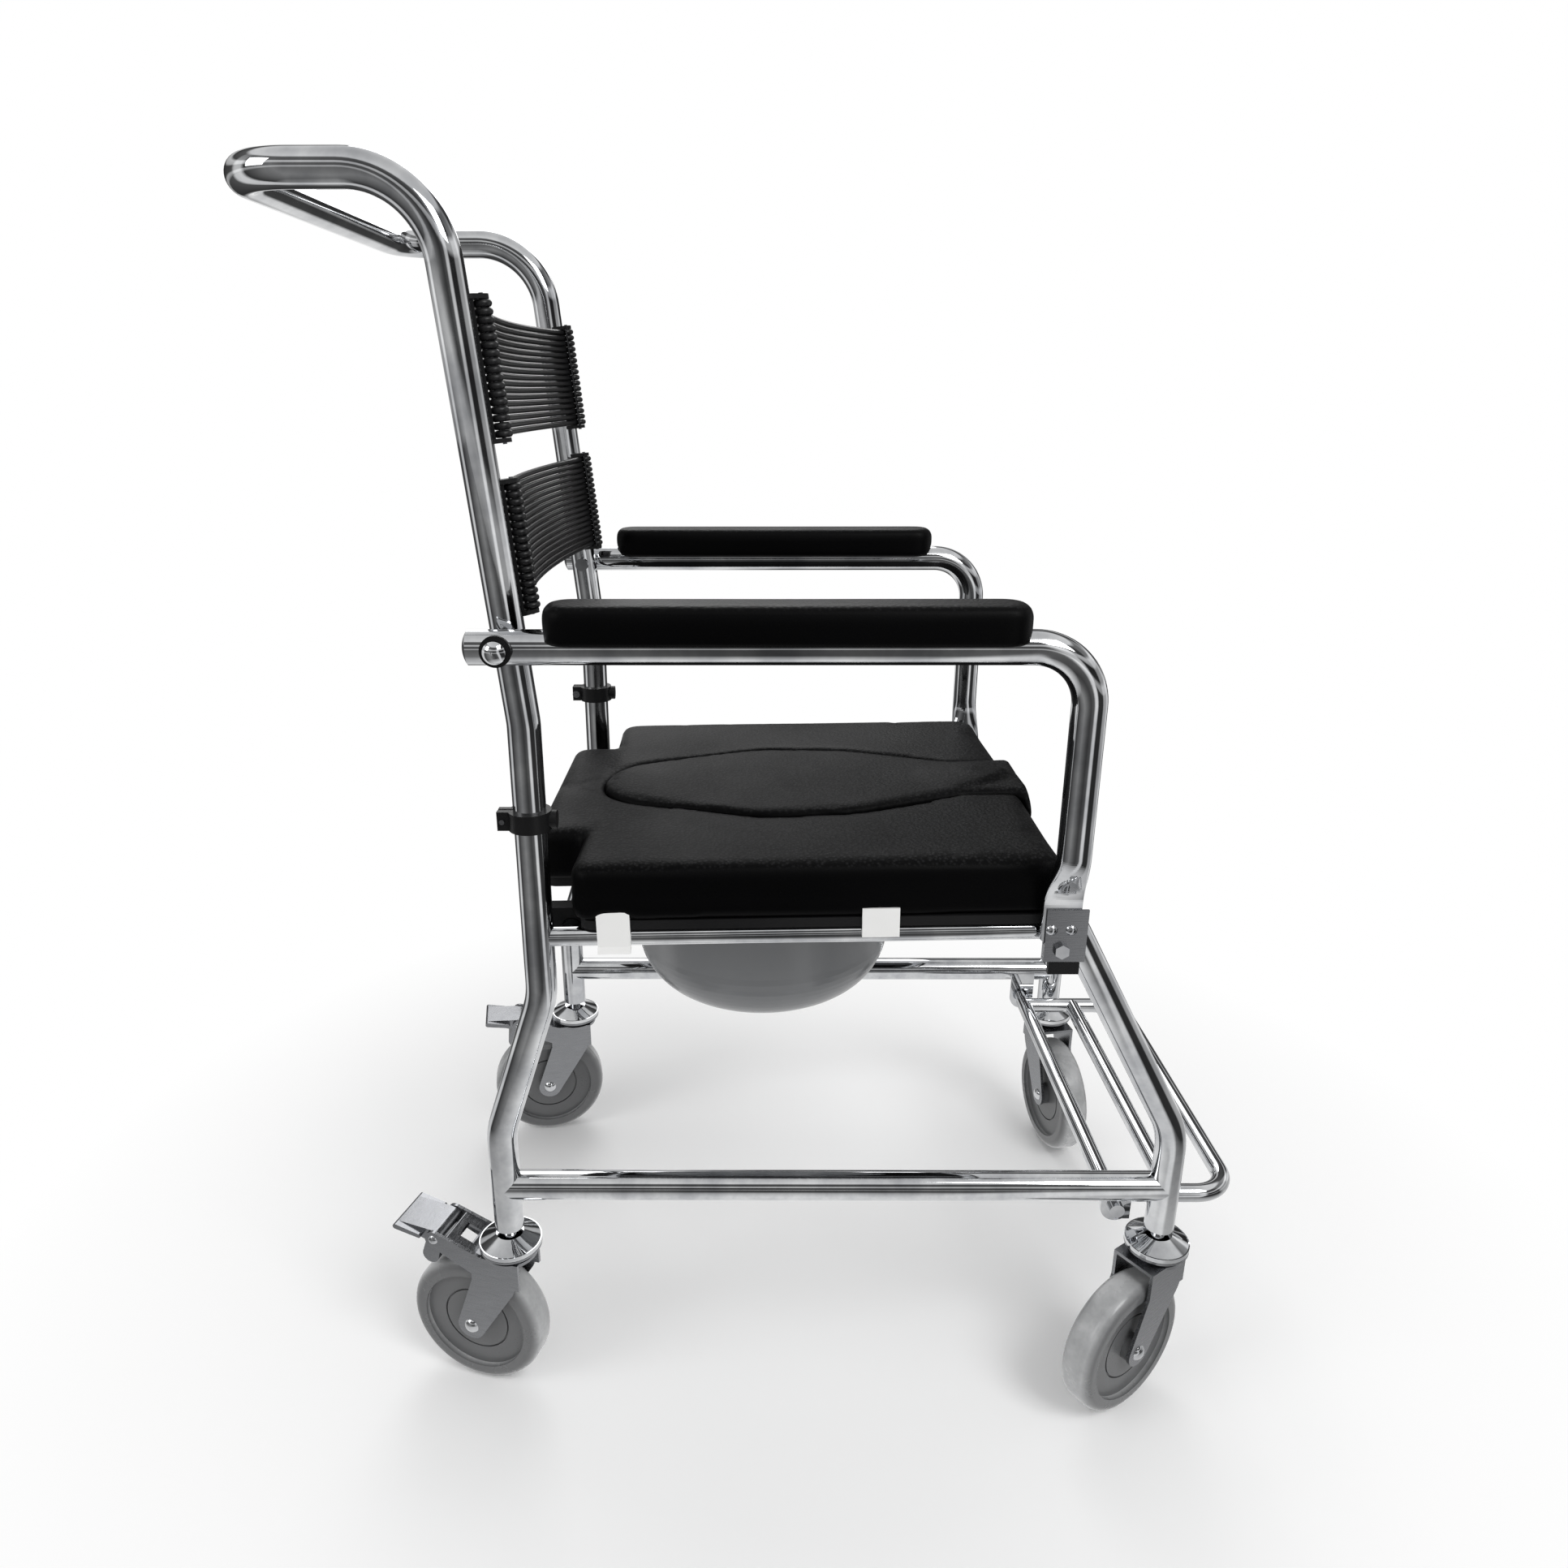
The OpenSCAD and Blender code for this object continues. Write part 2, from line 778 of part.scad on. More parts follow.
// Armrest tube: level from behind the pivot, bent down in front, and pressed flat at its end
module armrest_tube(s) {
    paddle = [paddle_x + paddle_t / 2, -arm_front_y];
    color("silver")
        in_place()
            on_side(s)
                difference() {
                    union() {
                        bent_tube(
                            [
                                [arm_half, arm_rear_y, arm_z], [arm_half, -arm_front_y, arm_z],
                                [arm_half, -arm_front_y, round_z]
                            ],
                            [arm_bend_r]
                        );
                        hull() {
                            translate([arm_half, -arm_front_y, round_z])
                                cylinder(d = tube_d, h = eps);
                            translate([paddle.x, paddle.y, flat_z])
                                cube([paddle_t, paddle_w, eps], center = true);
                        }
                        plate_at(paddle_x, paddle_t)
                            polygon([
                                [-arm_front_y - paddle_w / 2, flat_z],
                                [-arm_front_y - paddle_w / 2, paddle_end_z + 4],
                                [-arm_front_y - paddle_w / 2 + 4, paddle_end_z],
                                [-arm_front_y + paddle_w / 2 - 4, paddle_end_z],
                                [-arm_front_y + paddle_w / 2, paddle_end_z + 4],
                                [-arm_front_y + paddle_w / 2, flat_z]
                            ]);
                    }
                    cross_bar(pivot_y, arm_z, arm_inner_x - 1, arm_outer_x + 1, pivot_d + 2 * run_gap);
                    for (y = [-rivet_spread, rivet_spread])
                        cross_bar(-arm_front_y + y, rivet_z, paddle_x - 1, case_x + 1,
                            rivet_d + 2 * run_gap);
                }
}

// Armrest pad: moulded foam with a round channel below, which sits astride the tube
module armrest_pad(s) {
    edge_r = 8;
    end_r = 18;
    color("black")
        in_place()
            on_side(s)
                difference() {
                    translate([pad_x, -pad_rear_y - pad_len / 2, pad_bottom_z])
                        hull()
                            for (a = [0 : 30 : 90], end = [0, 1]) {
                                z = end == 0 ? 3 - 3 * sin(a) : pad_h - edge_r + edge_r * sin(a);
                                inset = end == 0 ? 3 - 3 * cos(a) : edge_r - edge_r * cos(a);
                                for (x = [-1, 1], y = [-1, 1])
                                    translate([x * (pad_w / 2 - end_r), y * (pad_len / 2 - end_r), z])
                                        cylinder(r = end_r - inset, h = slice, $fn = 32);
                            }
                    straight_tube([arm_half, 0, arm_z], [arm_half, -arm_front_y, arm_z],
                        tube_d + 2 * run_gap, 0);
                }
}

// Armrest cap: domed plug in the rear end of the armrest tube
module armrest_cap(s) {
    color("silver")
        in_place()
            on_side(s)
                translate([arm_half, arm_rear_y, arm_z]) {
                    rotate([90, 0, 0])
                        cylinder(d = plug_d, h = 12);
                    rotate([-90, 0, 0])
                        dome(tube_d, 4);
                }
}

// Latch case: folded steel tray riveted to the flattened tube end, walled below that end
module latch_case(s) {
    front_y = -pin_y - catch_d / 2 - 3;
    wall_h = paddle_end_z - face_gap - case_end_z;
    color("silver")
        in_place()
            on_side(s)
                difference() {
                    union() {
                        translate([case_x, front_y, case_end_z])
                            cube([case_t, case_w, case_h]);
                        for (y = [front_y, front_y + case_w - case_t])
                            translate([paddle_x, y, case_end_z])
                                cube([paddle_t + 1, case_t, wall_h]);
                    }
                    for (y = [-rivet_spread, rivet_spread])
                        cross_bar(-arm_front_y + y, rivet_z, case_x - 1, case_x + case_t + 1,
                            rivet_d + 2 * run_gap);
                    cross_bar(guide_y, guide_z, case_x - 1, case_x + case_t + 1,
                        guide_d + 2 * run_gap);
                }
}

// Latch rivets: two hold the case to the flattened tube end, and a bolt guides the release
module latch_rivets(s) {
    outer_x = case_x + case_t;
    color("silver")
        in_place()
            on_side(s) {
                for (y = [-rivet_spread, rivet_spread]) {
                    cross_bar(-arm_front_y + y, rivet_z, paddle_x, outer_x, rivet_d);
                    translate([outer_x, -arm_front_y + y, rivet_z])
                        rotate([0, 90, 0])
                            dome(9, 2.5);
                }
                cross_bar(guide_y, guide_z, release_x - 1, outer_x, guide_d);
                translate([outer_x, guide_y, guide_z])
                    rotate([0, 90, 0])
                        cylinder(d = 12, h = 4, $fn = 6);
            }
}

// Release: plastic slide that holds the catch pin from below, with a finger tab under the case
module release(s) {
    tab_top = case_end_z - face_gap;
    color("black")
        in_place()
            on_side(s) {
                plate_at(release_x, release_t)
                    difference() {
                        translate([nose_y - 5, tab_top - 2])
                            square([guide_y - nose_y + 5 + release_end, guide_z + 3 - tab_top + 2]);
                        link_shape([guide_y, guide_z], guide_d / 2 + face_gap,
                            [guide_y - release_travel, guide_z], guide_d / 2 + face_gap + eps);
                    }
                cross_bar(nose_y, nose_z, paddle_x, release_x, nose_d);
                plate_at(release_x, paddle_t)
                    translate([nose_y - 5, tab_top - tab_h])
                        square([24, tab_h]);
            }
}

// Catch pins: one on each front leg's outer side, which the latch holds
module catch_pins() {
    path = front_leg_path();
    color("silver")
        in_place()
            both_sides()
                difference() {
                    cross_bar(-pin_y, pin_z, frame_half + 6, pin_end_x, catch_d);
                    straight_tube(path[1], path[2], tube_d, 0);
                }
}

// ---------------------------------------------------------------- seat, lid and bucket

// Board under the cushion, with saddles behind that sit over the rear cross tube
module seat_board() {
    r = 12;
    front = -seat_front_y + board_inset;
    rear = -seat_rear_y - board_inset;
    color("dimgray")
        on_rails()
            difference() {
                union() {
                    translate([0, 0, board_z])
                        linear_extrude(board_thick) {
                            translate([0, (front + rear) / 2])
                                round_rect(2 * board_half, rear - front, r);
                            translate([0, (tongue_y - board_inset + rear - 2 * r) / 2])
                                round_rect(2 * (tongue_half - board_inset),
                                    tongue_y - board_inset - rear + 2 * r, r);
                        }
                    both_sides()
                        translate([hook_x, -cross_rear_y - rail_r - hook_wall, -hook_drop])
                            cube([hook_w, rail_d + 2 * hook_wall, board_z + board_thick + hook_drop]);
                }
                translate([0, 0, board_z - 1])
                    linear_extrude(board_thick + 2)
                        lid_shape(lid_ledge - 2, -aperture_front_y - 2);
                straight_tube([-frame_half, -cross_rear_y, cross_z], [frame_half, -cross_rear_y, cross_z],
                    rail_d + 2 * face_gap, 0);
                translate([-frame_half, -cross_rear_y - rail_r - face_gap, cross_z - rail_d])
                    cube([2 * frame_half, rail_d + 2 * face_gap, rail_d]);
            }
}

// Seat clips: screwed to the board's edge, they reach down outside the seat rails
module seat_clips() {
    color("gainsboro")
        on_rails()
            both_sides() {
                translate([board_half, -clip_rear_y - clip_rear_w / 2, clip_low])
                    cube([clip_t, clip_rear_w, clip_high - clip_low]);
                translate([board_half, -clip_rear_y, clip_low])
                    rotate([90, 0, 0])
                        linear_extrude(clip_rear_w, center = true)
                            polygon([[0, 3], [clip_t, 3], [clip_t + 3, -2], [3, -2]]);
                translate([board_half, -clip_front_y - clip_front_w / 2, clip_low + 8])
                    cube([clip_t, clip_front_w, clip_high - clip_low - 8]);
            }
}

// Points along an arc about the chair's middle line, turned from one angle to another
function arc_points(y, r, from, to) =
    let(count = max(1, ceil(abs(from - to) / 6)))
    [for (i = [0 : count]) [0, y] + r * unit_at(from + (to - from) * i / count)];

function unit_at(angle) = [cos(angle), sin(angle)];

// The lid's outline, drawn smaller by an inset and reaching forward to a given place
module lid_shape(inset, front) {
    r = [lid_rear_half - inset, lid_half - inset, lid_half - 5 - inset, lid_neck_half - inset];
    y = [-lid_rear_y, -lid_wide_y[0], -lid_wide_y[1], -lid_neck_y];
    turn = [for (i = [0 : 2]) asin((r[i + 1] - r[i]) / (y[i] - y[i + 1]))];
    right = concat(
        arc_points(y[0], r[0], 90, turn[0]),
        arc_points(y[1], r[1], turn[0], turn[1]),
        arc_points(y[2], r[2], turn[1], turn[2]),
        [[r[3], y[2] + (r[2] - r[3] * cos(turn[2])) / sin(turn[2])], [r[3], front]]
    );
    polygon(concat(right, [for (i = [len(right) - 1 : -1 : 1]) [-right[i].x, right[i].y]]));
}

// One rounded block of the cushion, given by its rear and front edges and half widths
module cushion_block(rear, rear_half, front, front_half, r, top) {
    hull()
        for (a = [0 : 30 : 90], end = [0, 1]) {
            z = end == 0
                ? cushion_z + 4 - 4 * sin(a)
                : top - cushion_edge_r + cushion_edge_r * sin(a) - slice;
            inset = (end == 0 ? 4 : cushion_edge_r) * (1 - cos(a));
            for (x = [-1, 1]) {
                translate([x * (rear_half - r), rear - r, z])
                    cylinder(r = r - inset, h = slice, $fn = 36);
                translate([x * (front_half - r), front + r, z])
                    cylinder(r = r - inset, h = slice, $fn = 36);
            }
        }
}

// Seat cushion: a broad block and a rear tongue between the uprights, cut out for the lid
module seat_cushion() {
    r = 16;
    color("black")
        on_rails()
            difference() {
                union() {
                    cushion_block(-seat_rear_y, seat_half, -seat_front_y, seat_half - seat_taper, r,
                        cushion_top);
                    cushion_block(tongue_y, tongue_half, -seat_rear_y - 2 * r, tongue_half, r,
                        cushion_top - 1);
                }
                translate([0, 0, lid_floor])
                    linear_extrude(cushion_thick)
                        lid_shape(-lid_gap, -seat_front_y - 1);
                translate([0, 0, cushion_z - 1])
                    linear_extrude(cushion_thick)
                        lid_shape(lid_ledge, -aperture_front_y);
                both_sides() {
                    translate([board_half - face_gap, -clip_rear_y - clip_rear_w / 2 - face_gap, 0])
                        cube([seat_half, clip_rear_w + 2 * face_gap, clip_high + face_gap]);
                    translate([board_half - face_gap, -clip_front_y - clip_front_w / 2 - face_gap, 0])
                        cube([seat_half, clip_front_w + 2 * face_gap, clip_high + face_gap]);
                }
            }
}

// Lid: padded keyhole cover with a plug below, a raised pommel and a lip over the seat's front
module lid() {
    steps = 4;
    edge_r = 5;
    front = -seat_front_y - face_gap - 1;
    color("black")
        on_rails() {
            translate([0, 0, lid_floor + face_gap])
                linear_extrude(lid_top - edge_r - lid_floor - face_gap)
                    lid_shape(0, front);
            for (i = [1 : steps])
                translate([0, 0, lid_top - edge_r])
                    linear_extrude(edge_r * sin(90 * i / steps))
                        lid_shape(edge_r * (1 - cos(90 * (i - 1) / steps)), front);
            translate([0, 0, lid_floor - plug_drop])
                linear_extrude(plug_drop + 1)
                    lid_shape(lid_ledge + lid_gap, -aperture_front_y + lid_gap);
            hull() {
                translate([0, -lid_neck_y, lid_top - 1])
                    cylinder(r = lid_neck_half - edge_r, h = eps, $fn = 32);
                translate([0, -seat_front_y + 24, lid_top + 5])
                    cylinder(r = 18, h = eps, $fn = 32);
            }
            hull()
                for (x = [-1, 1]) {
                    translate([x * (lid_lip_half - 10), -seat_front_y - face_gap, lid_top - lid_lip_drop + 10])
                        rotate([90, 0, 0])
                            cylinder(r = 10, h = lid_lip_t, $fn = 32);
                    translate([x * (lid_neck_half - 6), -seat_front_y - face_gap, lid_top - 6])
                        rotate([90, 0, 0])
                            cylinder(r = 6, h = lid_lip_t, $fn = 32);
                }
        }
}

// Bucket: deep bowl with round lower corners and a flat rim that rides on the runners
module bucket() {
    corner = [bucket_r - bucket_corner_r - bucket_taper, bucket_corner_r - bucket_depth];
    inner_r = bucket_corner_r - bucket_wall;
    color("gray")
        on_rails()
            translate([0, -bucket_y, rim_z])
                rotate_extrude($fn = 96)
                    polygon(concat(
                        [[0, -bucket_depth]],
                        [for (a = [90 : -6 : 0]) corner + bucket_corner_r * [cos(a), -sin(a)]],
                        [[bucket_r, -rim_t], [bucket_rim_r, -rim_t], [bucket_rim_r, 0]],
                        [[bucket_r - bucket_wall, 0]],
                        [for (a = [0 : 6 : 90]) corner + inner_r * [cos(a), -sin(a)]],
                        [[0, bucket_wall - bucket_depth]]
                    ));
}

// ---------------------------------------------------------------- footrest

// Footrest: a bent loop with a rear bar, on which it turns, and a middle bar
module footrest() {
    arm = [foot_half, 0, foot_z];
    color("silver")
        in_place()
            difference() {
                union() {
                    bent_tube(
                        [
                            [foot_half, -foot_pivot_y, foot_z], [foot_half, -foot_front_y, foot_z],
                            [-foot_half, -foot_front_y, foot_z], [-foot_half, -foot_pivot_y, foot_z]
                        ],
                        [foot_bend_r, foot_bend_r], rail_d
                    );
                    difference() {
                        cross_bar(-foot_mid_y, foot_z, -foot_half, foot_half, rail_d);
                        cross_bar(-foot_mid_y, foot_z, -foot_half, foot_half, rail_d - 2 * tube_wall);
                        both_sides()
                            straight_tube(arm - [0, foot_front_y, 0], arm, rail_d, 0);
                    }
                    cross_bar(-foot_pivot_y, foot_z, -foot_half - rail_r, foot_half + rail_r, rail_d);
                }
                cross_bar(-foot_pivot_y, foot_z, foot_plug_len - foot_half, foot_half - foot_plug_len,
                    rail_d - 2 * tube_wall);
                both_sides()
                    cross_bar(-foot_pivot_y, foot_z, foot_half - foot_plug_len - 1,
                        foot_half + rail_d, foot_bolt_d + 2 * run_gap);
            }
}

// Footrest brackets: plates welded to the lower rails, each with a lip that stops the footrest
module footrest_brackets() {
    lip_z = foot_z - rail_r - face_gap - plate_t;
    color("silver")
        in_place()
            both_sides()
                difference() {
                    union() {
                        plate_at(bracket_x, plate_t)
                            difference() {
                                union() {
                                    translate([-foot_pivot_y - bracket_r, foot_z])
                                        square([2 * bracket_r, lower_rail_z - foot_z]);
                                    translate([-foot_pivot_y, foot_z])
                                        circle(r = bracket_r);
                                    translate([-foot_pivot_y - bracket_r, lip_z])
                                        square([8, foot_z - lip_z]);
                                }
                                translate([-foot_pivot_y, foot_z])
                                    circle(d = foot_bolt_d + 2 * run_gap);
                            }
                        translate([foot_half - 4, -foot_pivot_y - bracket_r, lip_z])
                            cube([bracket_x + plate_t - foot_half + 4, 8, plate_t]);
                    }
                    translate([frame_half, 0, lower_rail_z])
                        rotate([90, 0, 0])
                            cylinder(d = tube_d, h = front_foot_y);
                }
}

// Footrest bolts: shouldered, through the brackets into the ends of the rear bar
module footrest_bolts() {
    shoulder_x = foot_half + rail_r + face_gap;
    color("silver")
        in_place()
            both_sides() {
                cross_bar(-foot_pivot_y, foot_z, foot_half - foot_plug_len + 2, bracket_x + plate_t,
                    foot_bolt_d);
                cross_bar(-foot_pivot_y, foot_z, shoulder_x, bracket_x, foot_bolt_d + 4);
                cross_bar(-foot_pivot_y, foot_z, bracket_x + plate_t, bracket_x + plate_t + 5,
                    foot_bolt_d + 5);
            }
}

// ---------------------------------------------------------------- casters

// Puts a caster, drawn trailing along +Y from its swivel axis, at a leg
module at_caster(s, y, turn) {
    in_place()
        translate([s * frame_half, y, 0])
            rotate([0, 0, turn])
                children();
}

// Caster mounts: in each leg a stem, below it the fixed half of the swivel head and its king pin
module caster_mounts() {
    flange_z = crown_z - face_gap;
    color("silver")
        for (s = [left, right], y = [rear_foot_y, -front_foot_y])
            at_caster(s, y, 0) {
                translate([0, 0, mount_z])
                    cylinder(d = head_d, h = 4);
                translate([0, 0, mount_z + 4])
                    cylinder(d1 = head_d - 2, d2 = 2 * stem_d, h = mount_h - 4);
                translate([0, 0, mount_z])
                    cylinder(d = stem_d, h = leg_end_z - mount_z);
                translate([0, 0, leg_end_z])
                    cylinder(d = plug_d, h = 28);
                translate([0, 0, flange_z - 4])
                    cylinder(d = kingpin_d, h = mount_z - flange_z + 4);
                translate([0, 0, flange_z - 4])
                    cylinder(d = kingpin_d + 8, h = 4);
            }
}

// A fork's side plate in Y and Z: wide under the crown, tapering to the axle
module fork_side(braked) {
    difference() {
        union() {
            link_shape([8, crown_z - 20], 20, [trail, wheel_r], 13);
            translate([crown_front_y, crown_z - crown_drop])
                square([crown_len, crown_drop]);
            if (braked)
                link_shape([22, crown_z - 8], 11, [brake_pin_y, brake_pin_z], 8);
        }
        translate([trail, wheel_r])
            circle(d = axle_d + 2 * run_gap);
        if (braked)
            translate([brake_pin_y, brake_pin_z])
                circle(d = brake_pin_d + 2 * run_gap);
    }
}

// Fork: two side plates under a crown, with the lower half of the swivel head on top. A braked
// fork's crown runs on as a sloping plate with a window, up to the pedal
module fork(s, y, turn, braked) {
    color("silver")
        at_caster(s, y, turn)
            difference() {
                union() {
                    for (x = [-fork_gap / 2 - fork_t, fork_gap / 2])
                        plate_at(x, fork_t)
                            fork_side(braked);
                    translate([-fork_gap / 2 - fork_t, crown_front_y, crown_z])
                        cube([fork_gap + 2 * fork_t, crown_len, fork_t]);
                    if (braked)
                        plate_at(-fork_gap / 2 - 1, fork_gap + 2)
                            link_shape(bridge_from, 1.5, bridge_to, 1.5);
                    translate([0, 0, crown_z])
                        cylinder(d = head_d - 8, h = fork_t);
                    translate([0, 0, crown_z + fork_t])
                        cylinder(d1 = head_d - 12, d2 = head_d, h = race_h - 2);
                    translate([0, 0, crown_z + fork_t + race_h - 2])
                        cylinder(d = head_d, h = 2);
                }
                translate([0, 0, crown_z - 1])
                    cylinder(d = kingpin_d + 2 * run_gap, h = fork_t + race_h + 2);
                if (braked)
                    translate([-window[0] / 2, bridge_to[0] - 7 - window[1], crown_z + 3.5])
                        cube([window[0], window[1], 14]);
            }
}

// Axle: bolt through the fork and the hub, and on a braked fork the pedal's pin too
module axle(s, y, turn, braked) {
    side = fork_gap / 2 + fork_t;
    color("silver")
        at_caster(s, y, turn) {
            cross_bar(trail, wheel_r, -side - 1, side + 1, axle_d);
            for (end = [-1, 1])
                translate([end * side, trail, wheel_r])
                    rotate([0, end * 90, 0])
                        dome(axle_d + 6, 3.6);
            if (braked) {
                cross_bar(brake_pin_y, brake_pin_z, -side - 1, side + 1, brake_pin_d);
                for (end = [-1, 1])
                    translate([end * side, brake_pin_y, brake_pin_z])
                        rotate([0, end * 90, 0])
                            dome(brake_pin_d + 3, 2.4);
            }
        }
}

// Turns what is drawn about +Z so that it lies about the wheel's axle
module on_axle(s, y, turn) {
    at_caster(s, y, turn)
        translate([0, trail, wheel_r])
            rotate([0, 90, 0])
                children();
}

// Hub: plastic disc with a long boss, a groove in each face and the bore for the axle
module hub(s, y, turn) {
    web = wheel_w - 10;
    color("darkgray")
        on_axle(s, y, turn)
            difference() {
                union() {
                    cylinder(r = hub_r, h = web, center = true);
                    cylinder(d = 3 * axle_d, h = fork_gap - 2 * face_gap, center = true);
                }
                for (end = [-1, 1])
                    translate([0, 0, end * web / 2])
                        difference() {
                            cylinder(r = hub_groove_r, h = 4, center = true);
                            cylinder(r = hub_groove_r - 1.6, h = 6, center = true);
                        }
                cylinder(d = axle_d + 2 * run_gap, h = 2 * fork_gap, center = true);
            }
}

// Tyre: solid ring with round shoulders
module tyre(s, y, turn) {
    shoulder = 9;
    color("gray")
        on_axle(s, y, turn)
            rotate_extrude($fn = 96)
                intersection() {
                    translate([hub_r, -wheel_w / 2])
                        square([wheel_r - hub_r, wheel_w]);
                    translate([wheel_r / 2, 0])
                        round_rect(wheel_r, wheel_w, shoulder);
                }
}

// Brake pedal: turns on its pin, so that pressing its end brings the cam down on the tyre
module pedal(s, y, turn) {
    width = fork_gap - 2 * face_gap;
    pin = [brake_pin_y, brake_pin_z];
    color("silver")
        at_caster(s, y, turn)
            difference() {
                union() {
                    plate_at(-width / 2, width)
                        link_shape(pin, 7, pin + [6, -20], 8);
                    plate_at(-width / 2, width)
                        link_shape(pin, 7, pin + [pedal_reach, pedal_rise], 2.5);
                    plate_at(-pedal_w / 2, pedal_w)
                        link_shape(pin + pedal_root * [pedal_reach, pedal_rise], 2,
                            pin + [pedal_reach, pedal_rise], 2.5);
                }
                cross_bar(brake_pin_y, brake_pin_z, -width, width, brake_pin_d + 2 * run_gap);
            }
}

// ---------------------------------------------------------------- the drawing

rear_leg(left);  // rear_leg_left
rear_leg(right);  // rear_leg_right
front_leg(left);  // front_leg_left
front_leg(right);  // front_leg_right
lower_rail(left);  // lower_rail_left
lower_rail(right);  // lower_rail_right
seat_rail(left);  // seat_rail_left
seat_rail(right);  // seat_rail_right
seat_cross_tubes();
bucket_runners();
back_tube();
upper_strips();
lower_strips();
back_rods();
upper_cords();
lower_cords();
bumper_clamps();
clamp_screws();
catch_pins();
pivot_bolts();
pivot_washers();
footrest_brackets();
footrest_bolts();
caster_mounts();
seat_board();
seat_clips();
seat_cushion();
lid();
bucket();
armrest_tube(left);  // armrest_tube_left
armrest_pad(left);  // armrest_pad_left
armrest_cap(left);  // armrest_cap_left
latch_case(left);  // latch_case_left
latch_rivets(left);  // latch_rivets_left
release(left);  // release_left
armrest_tube(right);  // armrest_tube_right
armrest_pad(right);  // armrest_pad_right
armrest_cap(right);  // armrest_cap_right
latch_case(right);  // latch_case_right
latch_rivets(right);  // latch_rivets_right
release(right);  // release_right
footrest();
fork(left, rear_foot_y, swivel_rear_left, true);  // fork_rear_left
axle(left, rear_foot_y, swivel_rear_left, true);  // axle_rear_left
hub(left, rear_foot_y, swivel_rear_left);  // hub_rear_left
tyre(left, rear_foot_y, swivel_rear_left);  // tyre_rear_left
pedal(left, rear_foot_y, swivel_rear_left);  // pedal_rear_left
fork(right, rear_foot_y, swivel_rear_right, true);  // fork_rear_right
axle(right, rear_foot_y, swivel_rear_right, true);  // axle_rear_right
hub(right, rear_foot_y, swivel_rear_right);  // hub_rear_right
tyre(right, rear_foot_y, swivel_rear_right);  // tyre_rear_right
pedal(right, rear_foot_y, swivel_rear_right);  // pedal_rear_right
fork(left, -front_foot_y, swivel_front_left, false);  // fork_front_left
axle(left, -front_foot_y, swivel_front_left, false);  // axle_front_left
hub(left, -front_foot_y, swivel_front_left);  // hub_front_left
tyre(left, -front_foot_y, swivel_front_left);  // tyre_front_left
fork(right, -front_foot_y, swivel_front_right, false);  // fork_front_right
axle(right, -front_foot_y, swivel_front_right, false);  // axle_front_right
hub(right, -front_foot_y, swivel_front_right);  // hub_front_right
tyre(right, -front_foot_y, swivel_front_right);  // tyre_front_right
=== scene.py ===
# Mobile commode chair: how the real one looks, dressed over the CAD frame.
import json
from math import cos, pi, radians, sin, tan

import bpy
from mathutils import Matrix, Vector

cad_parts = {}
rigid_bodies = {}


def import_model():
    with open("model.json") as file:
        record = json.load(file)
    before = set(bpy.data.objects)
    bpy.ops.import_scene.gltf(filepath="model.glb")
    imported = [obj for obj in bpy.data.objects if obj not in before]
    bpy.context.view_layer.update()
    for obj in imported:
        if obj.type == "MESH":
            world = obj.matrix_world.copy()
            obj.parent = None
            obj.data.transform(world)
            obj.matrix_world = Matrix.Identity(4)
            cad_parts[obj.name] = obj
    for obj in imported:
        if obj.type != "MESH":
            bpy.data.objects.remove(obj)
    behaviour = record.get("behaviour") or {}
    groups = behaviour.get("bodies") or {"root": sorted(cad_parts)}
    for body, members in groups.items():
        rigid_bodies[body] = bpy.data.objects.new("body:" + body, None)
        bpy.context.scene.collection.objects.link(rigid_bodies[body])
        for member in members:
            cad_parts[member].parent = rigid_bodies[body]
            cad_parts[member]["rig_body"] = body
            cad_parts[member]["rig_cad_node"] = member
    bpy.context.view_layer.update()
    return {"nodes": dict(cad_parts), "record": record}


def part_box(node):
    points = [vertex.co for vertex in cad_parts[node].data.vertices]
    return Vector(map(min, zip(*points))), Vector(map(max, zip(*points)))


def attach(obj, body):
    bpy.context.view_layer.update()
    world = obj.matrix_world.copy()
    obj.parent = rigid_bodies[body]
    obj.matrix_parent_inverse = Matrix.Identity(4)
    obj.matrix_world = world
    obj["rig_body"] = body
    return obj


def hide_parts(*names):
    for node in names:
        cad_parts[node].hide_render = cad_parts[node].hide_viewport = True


for start_object in list(bpy.data.objects):
    bpy.data.objects.remove(start_object)
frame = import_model()
bpy.ops.object.select_all(action="DESELECT")

# ---------------------------------------------------------------- camera
# A camera at eye height beside the chair, level with its middle and turned down
# onto the seat.
VIEW_FROM = Vector((-0.9938, 0.0445, 0.8494))
VIEW_RIGHT = Vector((0.0038, -1.0, -0.0011))
VIEW_UP = Vector((0.3272, 0.0002, 0.9450))

camera_data = bpy.data.cameras.new("camera")
camera_data.lens = 25.87
camera_data.sensor_width = 36.0
camera_data.shift_x = 0.0242
camera_data.shift_y = 0.0008
camera = bpy.data.objects.new("camera", camera_data)
turned = Matrix((VIEW_RIGHT, VIEW_UP, VIEW_RIGHT.cross(VIEW_UP))).transposed().normalized()
camera.matrix_world = Matrix.Translation(VIEW_FROM) @ turned.to_4x4()
bpy.context.scene.collection.objects.link(camera)
bpy.context.scene.camera = camera
bpy.context.scene.view_settings.view_transform = "Standard"

